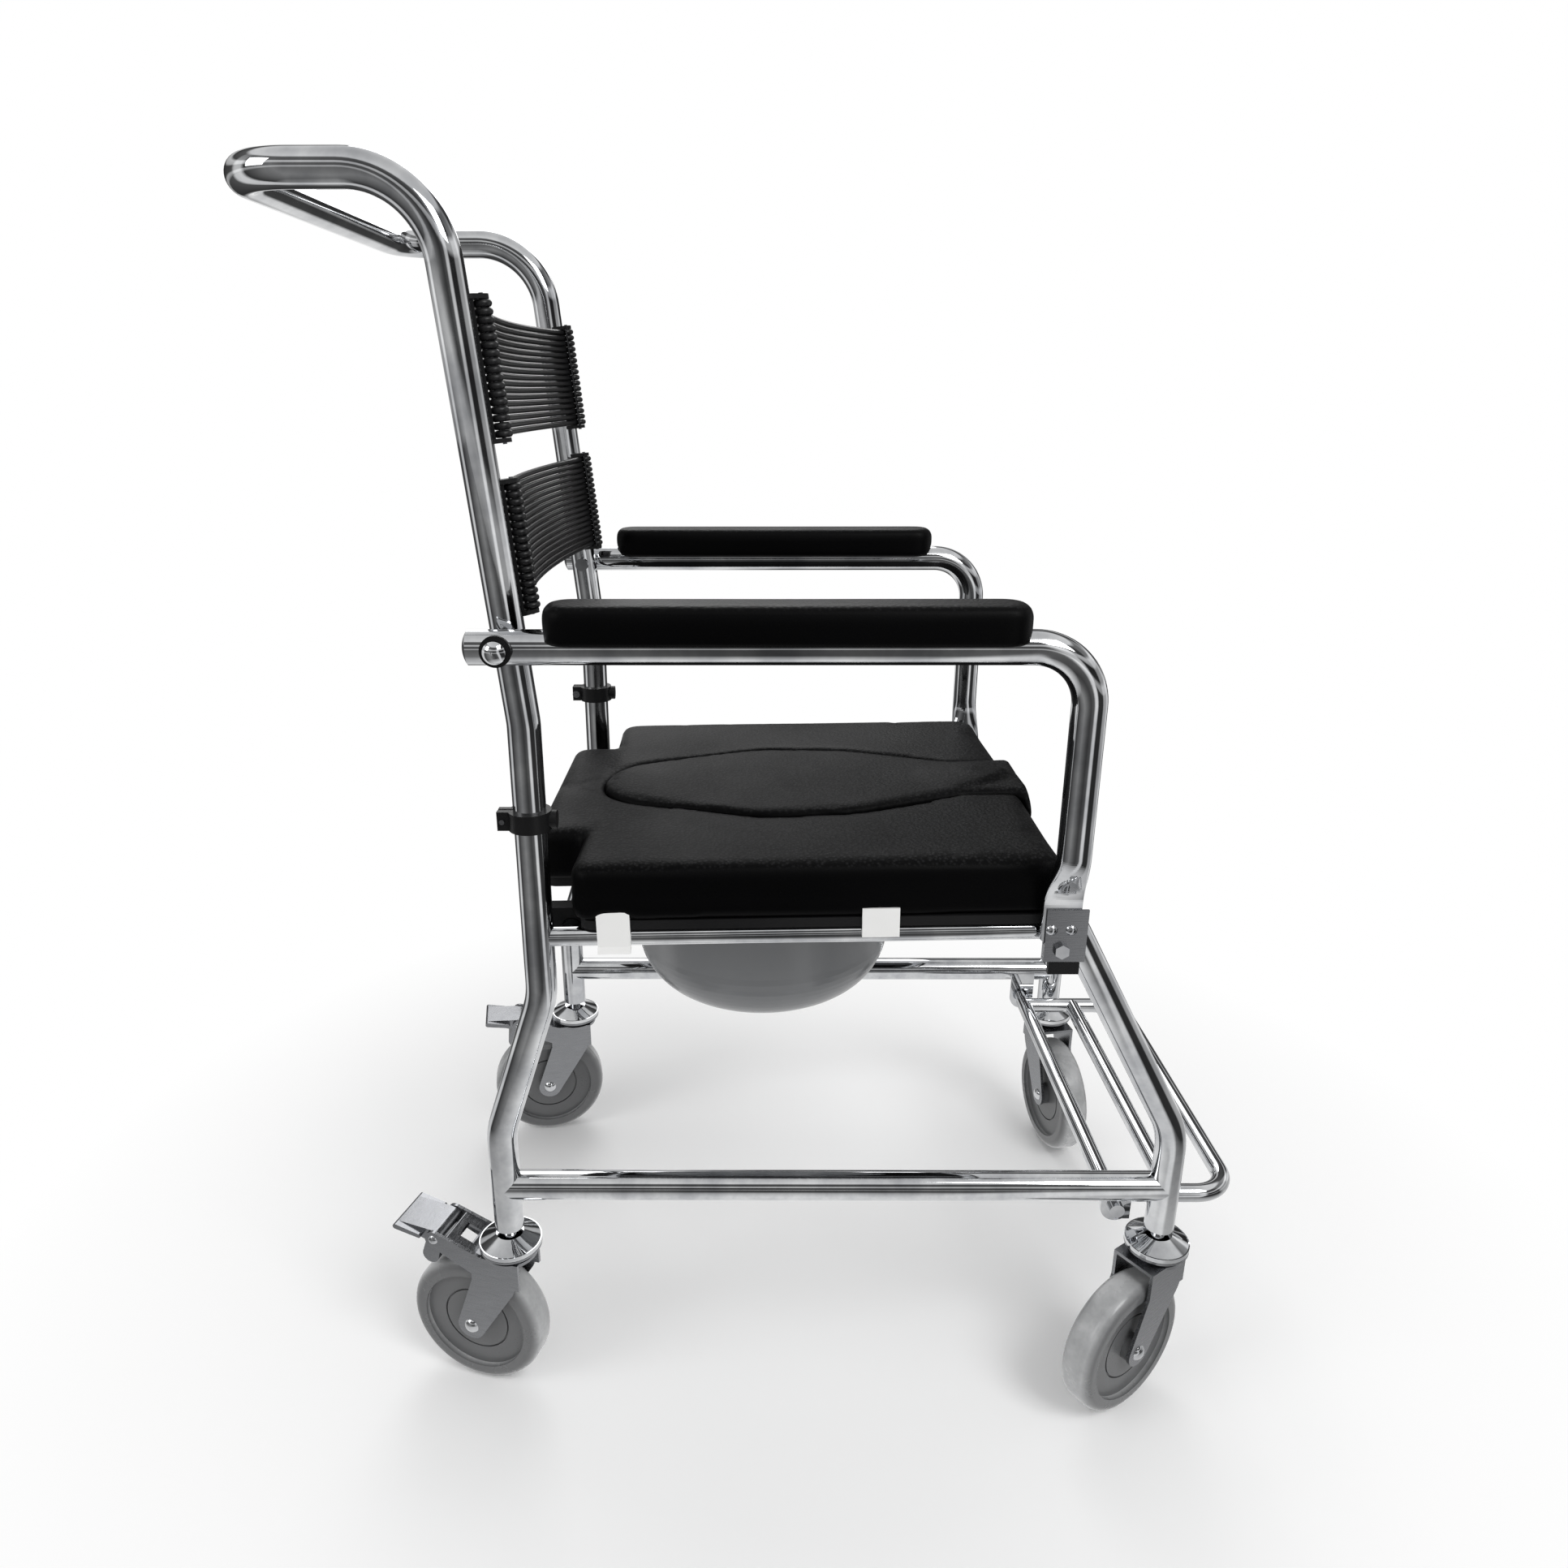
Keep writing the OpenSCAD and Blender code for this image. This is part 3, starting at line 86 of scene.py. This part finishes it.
# ---------------------------------------------------------------- studio
# A pale floor and an even pale surround. Polished metal also sees a few dark
# panels in that surround, which give it its lines.
class Wire:
    """A value in a material. Sums, products and powers of wires add Math nodes."""

    def __init__(self, finish, socket):
        self.finish, self.socket = finish, socket

    def _math(self, operation, *values):
        return self.finish.node("ShaderNodeMath", {"operation": operation}, dict(enumerate(values)))

    def __add__(self, other):
        return self._math("ADD", self, other)

    def __sub__(self, other):
        return self._math("SUBTRACT", self, other)

    def __rsub__(self, other):
        return self._math("SUBTRACT", other, self)

    def __mul__(self, other):
        return self._math("MULTIPLY", self, other)

    def __truediv__(self, other):
        return self._math("DIVIDE", self, other)

    def __pow__(self, other):
        return self._math("POWER", self, other)

    __radd__, __rmul__ = __add__, __mul__

    def clipped(self, low, high, to_low=0.0, to_high=1.0):
        """Runs evenly from to_low to to_high while the value goes from low to high."""
        return self.finish.node(
            "ShaderNodeMapRange",
            {"clamp": True},
            {"Value": self, "From Min": low, "From Max": high, "To Min": to_low, "To Max": to_high},
        )

    def part(self, axis):
        """One component of a vector: 0, 1 or 2."""
        return self.finish.node("ShaderNodeSeparateXYZ", {}, {0: self}, axis)


class Finish:
    """One material, floor or surround, and the wiring that makes its look."""

    def __init__(self, name, owner=None):
        self.owner = owner or bpy.data.materials.new(name)
        self.owner.use_nodes = True
        self.tree = self.owner.node_tree
        self.tree.nodes.clear()

    def node(self, kind, settings=None, inputs=None, output=0):
        """One node: its settings first, a ramp's stops among them, then what goes in."""
        made = self.tree.nodes.new(kind)
        for key, value in (settings or {}).items():
            if key == "stops":
                ramp = made.color_ramp
                for place, grey in value[1:-1]:
                    ramp.elements.new(place)
                for element, (place, grey) in zip(ramp.elements, value):
                    element.position = place
                    element.color = (grey, grey, grey, 1)
            else:
                setattr(made, key, value)
        for key, value in (inputs or {}).items():
            self.plug(made.inputs[key], value)
        return Wire(self, made.outputs[output])

    def plug(self, socket, value):
        if isinstance(value, Wire):
            self.tree.links.new(value.socket, socket)
        else:
            socket.default_value = value

    def spot(self):
        """Where a point is on the piece, in metres."""
        return self.node("ShaderNodeTexCoord", output="Object")

    def stretched(self, scale):
        """The same place, drawn out unevenly along the three axes."""
        return self.node("ShaderNodeMapping", {}, {"Vector": self.spot(), "Scale": scale})

    def noise(self, scale, detail=2.0, roughness=0.5, at=None):
        """A soft cloud pattern of about 0 to 1, with so many waves a metre."""
        return self.node(
            "ShaderNodeTexNoise",
            {},
            {"Vector": at or self.spot(), "Scale": scale, "Detail": detail, "Roughness": roughness},
        )

    def cells(self, scale):
        """A pebbled pattern: 0 in the middle of each cell, rising towards its edge."""
        return self.node("ShaderNodeTexVoronoi", {}, {"Vector": self.spot(), "Scale": scale})

    def tint(self, dark, light, share):
        """A colour between two others, by a share from 0 to 1."""
        return self.node(
            "ShaderNodeMix",
            {"data_type": "RGBA"},
            {"Factor": share, 6: (*dark, 1), 7: (*light, 1)},
            2,
        )

    def relief(self, height, depth):
        """The surface's slope, from a height of 0 to 1 and its depth in metres."""
        return self.node("ShaderNodeBump", {}, {"Strength": 1.0, "Distance": depth, "Height": height})

    def surface(self, **inputs):
        """The shader itself; a socket's name is given with _ for its spaces."""
        values = {name.replace("_", " "): value for name, value in inputs.items()}
        self.end(self.node("ShaderNodeBsdfPrincipled", {}, values))
        return self.owner

    def end(self, shader, kind="ShaderNodeOutputMaterial"):
        last = self.tree.nodes.new(kind)
        self.plug(last.inputs["Surface"], shader)


# Brightness of the mirrored surround: from straight down to straight up, then all round.
SURROUND = [(0.0, 0.5), (0.44, 0.35), (0.47, 0.9), (0.5, 1.0), (0.53, 0.04), (0.62, 0.02), (0.645, 0.95),
            (0.7, 1.0), (0.73, 0.05), (0.83, 0.12), (0.86, 0.8), (1.0, 0.6)]

PANELS = [(0.0, 0.05), (0.05, 0.12), (0.07, 0.95), (0.1, 1.0), (0.12, 0.02), (0.2, 0.02), (0.22, 0.5),
          (0.29, 0.6), (0.3, 1.0), (0.34, 1.0), (0.36, 0.02), (0.5, 0.05), (0.52, 0.9), (0.56, 1.0),
          (0.58, 0.02), (0.7, 0.1), (0.72, 0.9), (0.76, 0.95), (0.78, 0.02), (0.9, 0.3), (0.97, 0.1),
          (1.0, 0.05)]

world = bpy.data.worlds.new("surround")
bpy.context.scene.world = world
around = Finish("surround", world)
seen = around.node("ShaderNodeLightPath", output="Is Camera Ray")
mirrored = around.node("ShaderNodeLightPath", output="Is Glossy Ray")
direction = around.node("ShaderNodeTexCoord", output="Generated")
height = direction.part(2) * 0.5 + 0.5
bearing = around.node(
    "ShaderNodeMath", {"operation": "ARCTAN2"}, {0: direction.part(1), 1: direction.part(0)}
)
low_panels = around.node("ShaderNodeValToRGB", {"stops": SURROUND}, {"Fac": height})
side_panels = around.node("ShaderNodeValToRGB", {"stops": PANELS}, {"Fac": bearing / (2 * pi) + 0.5})
panels = around.node(
    "ShaderNodeMix", {"data_type": "RGBA"},
    {"Factor": height.clipped(0.62, 0.9, 0.62, 0.0), 6: low_panels, 7: side_panels}, 2,
)
plain = around.node("ShaderNodeBackground", {}, {"Color": (1, 1, 1, 1), "Strength": 0.56})
white = around.node("ShaderNodeBackground", {}, {"Color": (1, 1, 1, 1), "Strength": 1.0})
lined = around.node("ShaderNodeBackground", {}, {"Color": panels, "Strength": 1.0})
body = around.node("ShaderNodeMixShader", {}, {0: mirrored, 1: plain, 2: lined})
body = around.node("ShaderNodeMixShader", {}, {0: seen, 1: body, 2: white})
around.end(body, "ShaderNodeOutputWorld")

# The floor turns white away from the chair, and polished metal sees it striped.
FLOOR_SIZE, FLOOR_DROP = 14, 0.0005
bpy.ops.mesh.primitive_plane_add(size=FLOOR_SIZE, location=(0, 0, -FLOOR_DROP))
floor = bpy.context.object
floor.name = "studio_floor"
ground = Finish("studio_floor")
mirrored = ground.node("ShaderNodeLightPath", output="Is Glossy Ray")
place = ground.spot()
bearing = ground.node("ShaderNodeMath", {"operation": "ARCTAN2"}, {0: place.part(1), 1: place.part(0)})
stripes = ground.node("ShaderNodeValToRGB", {"stops": PANELS}, {"Fac": bearing / (2 * pi) + 0.5})
away = (place.part(0) ** 2 + place.part(1) ** 2) ** 0.5
shade = away.clipped(0.3, 0.9) * (1 - stripes)
seen = ground.node("ShaderNodeLightPath", output="Is Camera Ray")
plain = ground.node("ShaderNodeBsdfDiffuse", {}, {"Color": (0.97, 0.97, 0.97, 1)})
white = ground.node("ShaderNodeEmission", {}, {"Color": (1, 1, 1, 1), "Strength": 1.0})
lined = ground.node("ShaderNodeEmission", {}, {"Color": (1, 1, 1, 1), "Strength": 0.8 - shade * 0.78})
far = seen * away.clipped(0.35, 0.85)
body = ground.node("ShaderNodeMixShader", {}, {0: far, 1: plain, 2: white})
body = ground.node("ShaderNodeMixShader", {}, {0: mirrored, 1: body, 2: lined})
ground.end(body)
floor.data.materials.append(ground.owner)

CHAIR_MIDDLE = Vector((0, 0, 0.45))
for name, place, size, power in (
    ("key_lamp", (-1.6, -1.3, 2.4), 1.2, 30),
    ("fill_lamp", (-1.2, 2.2, 1.8), 1.2, 12),
    ("back_lamp", (2.2, 0.2, 2.2), 1.6, 20),
):
    lamp_data = bpy.data.lights.new(name, "AREA")
    lamp_data.size, lamp_data.energy = size, power
    lamp = bpy.data.objects.new(name, lamp_data)
    aim = (CHAIR_MIDDLE - Vector(place)).to_track_quat("-Z", "Y").to_matrix().to_4x4()
    lamp.matrix_world = Matrix.Translation(place) @ aim
    bpy.context.scene.collection.objects.link(lamp)

# ---------------------------------------------------------------- frame tubes
# Round steel tube, cold bent, welded, then polished and chrome plated: 25 mm for the
# legs, uprights and lower rails, 16 mm for the seat rails and the cross tubes.
PLAN = 0.212
TUBE, RAIL = 0.025, 0.016
HALF = 0.193
LEG_R, SHOULDER_R, HANDLE_R = 0.075, 0.061, 0.043
LEAN_Z, LEAN = 0.621, tan(radians(5.7))
RAKE = radians(1)
SEAT_RAIL_Z, LOW_RAIL_Z = 0.446, 0.2095
SIDES = {"left": 1, "right": -1}


def at(x, y, z):
    """A point of the chair, y behind the uprights, in the frame's own axes."""
    return Vector((x, y + PLAN, z))


def on_rails(x, y, z):
    """A point given above the sloping seat rails."""
    return at(x, y * cos(RAKE) + z * sin(RAKE), z * cos(RAKE) - y * sin(RAKE) + SEAT_RAIL_Z)


def mirror_chrome():
    """Bright plating over polished tube, with faint drawing marks and smudges."""
    f = Finish("mirror_chrome")
    smudge = f.noise(22, 4, 0.6)
    specks = f.noise(900, 2, 0.6).clipped(0.62, 0.74)
    dull = smudge.clipped(0.4, 0.8, 0.03, 0.1) + specks * 0.04
    ripple = f.noise(26, 1)
    return f.surface(
        Base_Color=f.tint((0.52, 0.53, 0.55), (0.8, 0.81, 0.82), smudge.clipped(0.35, 0.65)),
        Metallic=1.0,
        Roughness=dull,
        Normal=f.relief(ripple, 0.00012),
    )


CHROME = mirror_chrome()


def bent_tube(name, path, radii, d, body, nodes, around=40):
    """A tube drawn along straight lines and spun round at each inner corner."""
    way = [(b - a).normalized() for a, b in zip(path, path[1:])]
    bpy.ops.object.select_all(action="DESELECT")
    bpy.ops.mesh.primitive_circle_add(
        vertices=around, radius=d / 2, location=path[0],
        rotation=way[0].to_track_quat("Z", "Y").to_euler(),
    )
    tube = bpy.context.object
    tube.name = tube.data.name = name
    bpy.ops.object.transform_apply(location=True, rotation=True, scale=True)
    bpy.ops.object.mode_set(mode="EDIT")
    bpy.ops.mesh.select_all(action="SELECT")
    bpy.ops.mesh.edge_face_add()
    here = path[0]
    for corner, u, v, r in zip(path[1:], way, way[1:], radii):
        turn = u.angle(v)
        start = corner - u * r * tan(turn / 2)
        bpy.ops.mesh.extrude_region_move(TRANSFORM_OT_translate={"value": start - here})
        axis = u.cross(v).normalized()
        bpy.ops.mesh.spin(
            steps=max(4, round(turn / 0.07)), angle=-turn, axis=axis,
            center=start + axis.cross(u) * r,
        )
        here = corner + v * r * tan(turn / 2)
    bpy.ops.mesh.extrude_region_move(TRANSFORM_OT_translate={"value": path[-1] - here})
    bpy.ops.mesh.select_all(action="SELECT")
    bpy.ops.mesh.normals_make_consistent(inside=False)
    bpy.ops.object.mode_set(mode="OBJECT")
    bpy.ops.object.shade_smooth_by_angle(angle=radians(35))
    tube.data.materials.append(CHROME)
    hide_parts(*nodes)
    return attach(tube, body)


FOOT_Y = {"rear": 0.042, "front": -0.522}
LEG_END, KNEE, HIP, SEAM = 0.168, 0.265, 0.393, 0.4925
LEG_TOP = (-0.421, 0.45335)
for side, s in SIDES.items():
    x = s * HALF
    bent_tube(
        "leg_tube_rear_" + side,
        [at(x, FOOT_Y["rear"], LEG_END), at(x, FOOT_Y["rear"], KNEE), at(x, 0, HIP), at(x, 0, SEAM)],
        [LEG_R, LEG_R], TUBE, "frame", ["rear_leg_" + side],
    )
    knee = at(x, FOOT_Y["front"], KNEE)
    top = at(x, *LEG_TOP)
    bent_tube(
        "leg_tube_front_" + side,
        [at(x, FOOT_Y["front"], LEG_END), knee, top + (top - knee).normalized() * 0.006],
        [LEG_R], TUBE, "frame", ["front_leg_" + side],
    )
    bent_tube(
        "side_tube_lower_" + side,
        [at(x, FOOT_Y["rear"], LOW_RAIL_Z), at(x, FOOT_Y["front"], LOW_RAIL_Z)],
        [], TUBE, "frame", ["lower_rail_" + side],
    )
    bent_tube(
        "side_tube_seat_" + side,
        [at(x, 0, SEAT_RAIL_Z), at(x, *LEG_TOP)], [], RAIL, "frame", ["seat_rail_" + side],
    )

HANDLE_Y, HANDLE_Z = 0.1675, 0.986
top_y = (HANDLE_Z - LEAN_Z) * LEAN
half_path = [
    at(HALF, 0, SEAM), at(HALF, 0, LEAN_Z), at(HALF, top_y, HANDLE_Z), at(HALF, HANDLE_Y, HANDLE_Z),
]
other_half = [Vector((-p.x, p.y, p.z)) for p in reversed(half_path)]
bent_tube(
    "back_and_handle_tube", half_path + other_half,
    [LEG_R, SHOULDER_R, HANDLE_R, HANDLE_R, SHOULDER_R, LEG_R], TUBE, "frame", ["back_tube"],
)

# ---------------------------------------------------------------- cross tubes
# Two thin tubes welded between the seat rails, one at either end of the seat.
CROSS_Y, CROSS_Z = {"rear": -0.024, "front": -0.3948}, -0.001
for end, y in CROSS_Y.items():
    bent_tube(
        "cross_tube_" + end, [on_rails(-HALF, y, CROSS_Z), on_rails(HALF, y, CROSS_Z)],
        [], RAIL, "frame", ["seat_cross_tubes"],
    )

# ---------------------------------------------------------------- armrest tubes
# One 25 mm tube a side: level from behind the pivot, bent down in front, and pressed
# flat where the latch case is riveted on.
ARM_HALF, ARM_Z, ARM_REAR, ARM_FRONT, ARM_R = 0.2255, 0.6845, 0.028, -0.406, 0.042
ROUND_Z, FLAT_Z, PADDLE_END = 0.52835, 0.48035, 0.44835
PADDLE_X, PADDLE_W, PADDLE_T = 0.2088, 0.030, 0.005


def press_flat(tube, s):
    """Squeezes the front end of an armrest tube into a flat paddle with snipped corners."""
    mesh = tube.data
    for v in mesh.vertices:
        if v.co.z < ROUND_Z - 0.0005:
            share = min(1, (ROUND_Z - v.co.z) / (ROUND_Z - FLAT_Z))
            share = share * share * (3 - 2 * share)
            x, y = s * v.co.x - ARM_HALF, v.co.y - PLAN - ARM_FRONT
            reach = Vector((x, y)).length or 1
            flat_x = PADDLE_X - ARM_HALF + max(-1, min(1, x / reach * 4)) * PADDLE_T / 2
            flat_y = max(-1, min(1, y / reach * 1.02)) * PADDLE_W / 2
            snip = max(0, PADDLE_END + 0.004 - v.co.z)
            flat_y = max(-PADDLE_W / 2 + snip, min(PADDLE_W / 2 - snip, flat_y))
            v.co.x = s * (ARM_HALF + x * (1 - share) + flat_x * share)
            v.co.y = PLAN + ARM_FRONT + y * (1 - share) + flat_y * share


for side, s in SIDES.items():
    x = s * ARM_HALF
    tube = bent_tube(
        "armrest_tube_shape_" + side,
        [at(x, ARM_REAR, ARM_Z), at(x, ARM_FRONT, ARM_Z), at(x, ARM_FRONT, ROUND_Z)],
        [ARM_R], TUBE, "armrest_" + side, ["armrest_tube_" + side],
    )
    bpy.ops.object.mode_set(mode="EDIT")
    bpy.ops.mesh.select_all(action="DESELECT")
    bpy.ops.object.mode_set(mode="OBJECT")
    for face in tube.data.polygons:
        face.select = face.normal.z < -0.9 and face.center.z < ROUND_Z + 0.001
    bpy.ops.object.mode_set(mode="EDIT")
    steps = [ROUND_Z - (ROUND_Z - FLAT_Z) * i / 30 for i in range(1, 31)]
    steps += [PADDLE_END + 0.004, PADDLE_END + 0.002, PADDLE_END]
    here = ROUND_Z
    for z in steps:
        bpy.ops.mesh.extrude_region_move(TRANSFORM_OT_translate={"value": (0, 0, z - here)})
        here = z
    bpy.ops.object.mode_set(mode="OBJECT")
    press_flat(tube, s)
    bpy.ops.object.shade_smooth_by_angle(angle=radians(60))

# ---------------------------------------------------------------- footrest
# A bent loop of 16 mm tube, welded to a middle bar for the heels and to the rear bar
# that it turns on.
FOOT_HALF, FOOT_Z, FOOT_R = 0.163, 0.178, 0.032
FOOT_REAR, FOOT_MID, FOOT_FRONT = -0.4865, -0.541, -0.596
bent_tube(
    "footrest_loop",
    [at(FOOT_HALF, FOOT_REAR, FOOT_Z), at(FOOT_HALF, FOOT_FRONT, FOOT_Z),
     at(-FOOT_HALF, FOOT_FRONT, FOOT_Z), at(-FOOT_HALF, FOOT_REAR, FOOT_Z)],
    [FOOT_R, FOOT_R], RAIL, "footrest", ["footrest"],
)
for name, y, reach in (("middle", FOOT_MID, FOOT_HALF), ("rear", FOOT_REAR, FOOT_HALF + RAIL / 2)):
    bent_tube("footrest_bar_" + name, [at(-reach, y, FOOT_Z), at(reach, y, FOOT_Z)],
              [], RAIL, "footrest", ["footrest"])

# ---------------------------------------------------------------- seat cushion
# Moulded foam with its own thick black skin, finely grained on top, on a board that
# rests on the seat rails. The foam crowns slightly and its edges are well rounded.
def foam_skin():
    """Black skin, pebbled and speckled where it faces up and plain at the sides."""
    f = Finish("foam_skin")
    grain = f.cells(330)
    fine = f.noise(1200, 2)
    wide = f.noise(7, 3)
    facing = f.node("ShaderNodeNewGeometry", output="Normal").part(2).clipped(0.6, 0.95)
    speckle = (1 - grain).clipped(0.5, 0.95) * facing * wide.clipped(0.3, 0.65, 0.35, 1)
    return f.surface(
        Base_Color=f.tint((0.001, 0.001, 0.0012), (0.02, 0.02, 0.021), speckle),
        Roughness=wide.clipped(0.3, 0.7, 0.36, 0.5),
        Specular_IOR_Level=0.07,
        Normal=f.relief((1 - grain) * facing * 0.7 + fine * 0.3, 0.0003),
    )


SKIN = foam_skin()


PRESSURE, SETTLING, HELD = 4, 20, 0.012


def foam_piece(name, node, body, voxel, swell, flat_below, rounding=6):
    """A foam piece made from its plain solid: evened out, softened, then blown up a little
    as cloth, with its underside held flat."""
    pad = frame["nodes"][node].copy()
    pad.data = pad.data.copy()
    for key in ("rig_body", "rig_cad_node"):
        del pad[key]
    pad.parent = None
    pad.name = pad.data.name = name
    bpy.context.scene.collection.objects.link(pad)
    bpy.ops.object.select_all(action="DESELECT")
    bpy.context.view_layer.objects.active = pad
    pad.select_set(True)
    bpy.ops.object.mode_set(mode="EDIT")
    bpy.ops.mesh.select_all(action="SELECT")
    bpy.ops.mesh.remove_doubles(threshold=0.00001)
    bpy.ops.object.mode_set(mode="OBJECT")
    even = pad.modifiers.new("even", "REMESH")
    even.mode, even.voxel_size = "VOXEL", voxel
    bpy.ops.object.modifier_apply(modifier=even.name)
    soften = pad.modifiers.new("soften", "SMOOTH")
    soften.factor, soften.iterations = 0.5, rounding
    bpy.ops.object.modifier_apply(modifier=soften.name)
    before = [v.co.copy() for v in pad.data.vertices]
    cloth = pad.modifiers.new("cloth", "CLOTH")
    cloth.settings.use_pressure = True
    cloth.settings.uniform_pressure_force = PRESSURE
    cloth.settings.effector_weights.gravity = 0
    cloth.point_cache.frame_start, cloth.point_cache.frame_end = 1, SETTLING
    for number in range(1, SETTLING + 1):
        bpy.context.scene.frame_set(number)
    bpy.ops.object.modifier_apply(modifier=cloth.name)
    bpy.context.scene.frame_set(1)
    for v, old in zip(pad.data.vertices, before):
        move = v.co - old
        share = min(1, max(0, (old.z - flat_below) / HELD))
        v.co = old + move * min(1, swell / (move.length + 1e-9)) * share
    bpy.ops.object.shade_smooth()
    pad.data.materials.clear()
    pad.data.materials.append(SKIN)
    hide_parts(node)
    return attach(pad, body)


foam_piece("seat_foam", "seat_cushion", "seat", voxel=0.004, swell=0.002, flat_below=0.475)

# ---------------------------------------------------------------- lid
# A lift-out lid of the same foam, keyhole shaped, smooth on top, with a raised pommel
# and a lip over the front of the seat.
foam_piece("lid_foam", "lid", "lid", voxel=0.003, swell=0.0015, flat_below=0.49, rounding=4)

# ---------------------------------------------------------------- armrest pads
# Long pads of the same foam with rounded ends, each moulded astride its tube. They
# barely swell, so that each clears its upright when the armrest is swung up.
for side in SIDES:
    foam_piece(
        "armrest_foam_" + side, "armrest_pad_" + side, "armrest_" + side,
        voxel=0.0025, swell=0.0002, flat_below=0.692, rounding=8,
    )

# ---------------------------------------------------------------- pressed steel, plastic and rubber
# The other pieces keep their solids' shapes: pressed and zinc plated steel, moulded
# plastic, vinyl cord and rubber, each with its own grain.
def satin_zinc():
    """Dull zinc plating that shows the rolling marks of the steel sheet."""
    f = Finish("satin_zinc")
    brushed = f.noise(70, 3, 0.6, f.stretched((1, 1, 14)))
    return f.surface(
        Base_Color=f.tint((0.2, 0.205, 0.215), (0.36, 0.365, 0.38), brushed),
        Metallic=1.0,
        Roughness=brushed.clipped(0.3, 0.7, 0.2, 0.32),
        Normal=f.relief(brushed, 0.0001),
    )


def moulded(name, dark, light, low, high, grain=700, depth=0.00006, gloss=0.5):
    """Moulded plastic or vinyl: two close shades, and a roughness from low to high."""
    f = Finish(name)
    fine = f.noise(grain, 3, 0.6)
    wide = f.noise(9, 3)
    return f.surface(
        Base_Color=f.tint(dark, light, wide),
        Roughness=(wide * 0.5 + fine * 0.5).clipped(0.35, 0.65, low, high),
        Specular_IOR_Level=gloss,
        Normal=f.relief(fine, depth),
    )


ZINC = satin_zinc()
FINISHES = {
    "chrome": CHROME,
    "zinc": ZINC,
    "pu": SKIN,
    "cord": moulded("cord_vinyl", (0.006, 0.006, 0.0065), (0.014, 0.014, 0.015), 0.3, 0.42, gloss=0.35),
    "black_plastic": moulded(
        "black_plastic", (0.003, 0.003, 0.0035), (0.009, 0.009, 0.0095), 0.3, 0.45, gloss=0.25
    ),
    "white_plastic": moulded("white_plastic", (0.78, 0.78, 0.77), (0.86, 0.86, 0.85), 0.35, 0.5),
    "grey_plastic": moulded("grey_plastic", (0.15, 0.155, 0.16), (0.19, 0.195, 0.2), 0.12, 0.22),
    "hub_plastic": moulded("hub_plastic", (0.1, 0.102, 0.105), (0.15, 0.152, 0.155), 0.26, 0.4),
    "board": moulded("board", (0.004, 0.004, 0.0045), (0.012, 0.012, 0.0125), 0.4, 0.6, gloss=0.25),
}
slots = {part["node"]: part["material_slot"] for part in frame["record"]["subparts"]}
BRIGHT = ("rivet", "axle", "mount", "bolt")
for node, piece in frame["nodes"].items():
    if not node.startswith("tyre_"):
        polished = any(word in node for word in BRIGHT)
        piece.data.materials.clear()
        piece.data.materials.append(CHROME if polished else FINISHES[slots[node]])

# ---------------------------------------------------------------- tyres
# Solid grey rubber rings, pressed on the hubs. The tread is smooth, and painted pale as a
# painted highlight where it catches the light; the sides stay darker.
TREAD_FROM, TREAD_TO = 0.0095, 0.0148
SWIVEL = {"rear_left": 10.9, "rear_right": -17.5, "front_left": 100.2, "front_right": 35.0}
for place, turn in SWIVEL.items():
    low, high = (Vector(corner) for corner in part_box("tyre_" + place))
    middle = (low + high) / 2
    across = Vector((cos(radians(turn)), sin(radians(turn)), 0))
    f = Finish("tyre_" + place)
    x, y = f.spot().part(0) - middle.x, f.spot().part(1) - middle.y
    off = ((x * across.x + y * across.y) ** 2) ** 0.5
    # Painted highlight mask: 1 across the tread, falling to 0 on the sides.
    painted_tread_highlight = 1 - off.clipped(TREAD_FROM, TREAD_TO)
    fine = f.noise(700, 3, 0.6)
    scuffs = f.noise(30, 4, 0.65)
    # Painted highlight: the tread colour, much paler than the darker sides.
    tread = f.tint((0.34, 0.345, 0.35), (0.5, 0.505, 0.51), scuffs.clipped(0.35, 0.65))
    flank = f.tint((0.115, 0.117, 0.12), (0.155, 0.157, 0.16), scuffs)
    shown = f.node("ShaderNodeMix", {"data_type": "RGBA"}, {"Factor": painted_tread_highlight, 6: flank, 7: tread}, 2)
    tyre = frame["nodes"]["tyre_" + place]
    tyre.data.materials.clear()
    tyre.data.materials.append(f.surface(
        Base_Color=shown,
        Roughness=scuffs.clipped(0.35, 0.7, 0.16, 0.34),
        Normal=f.relief(fine, 0.00004),
    ))
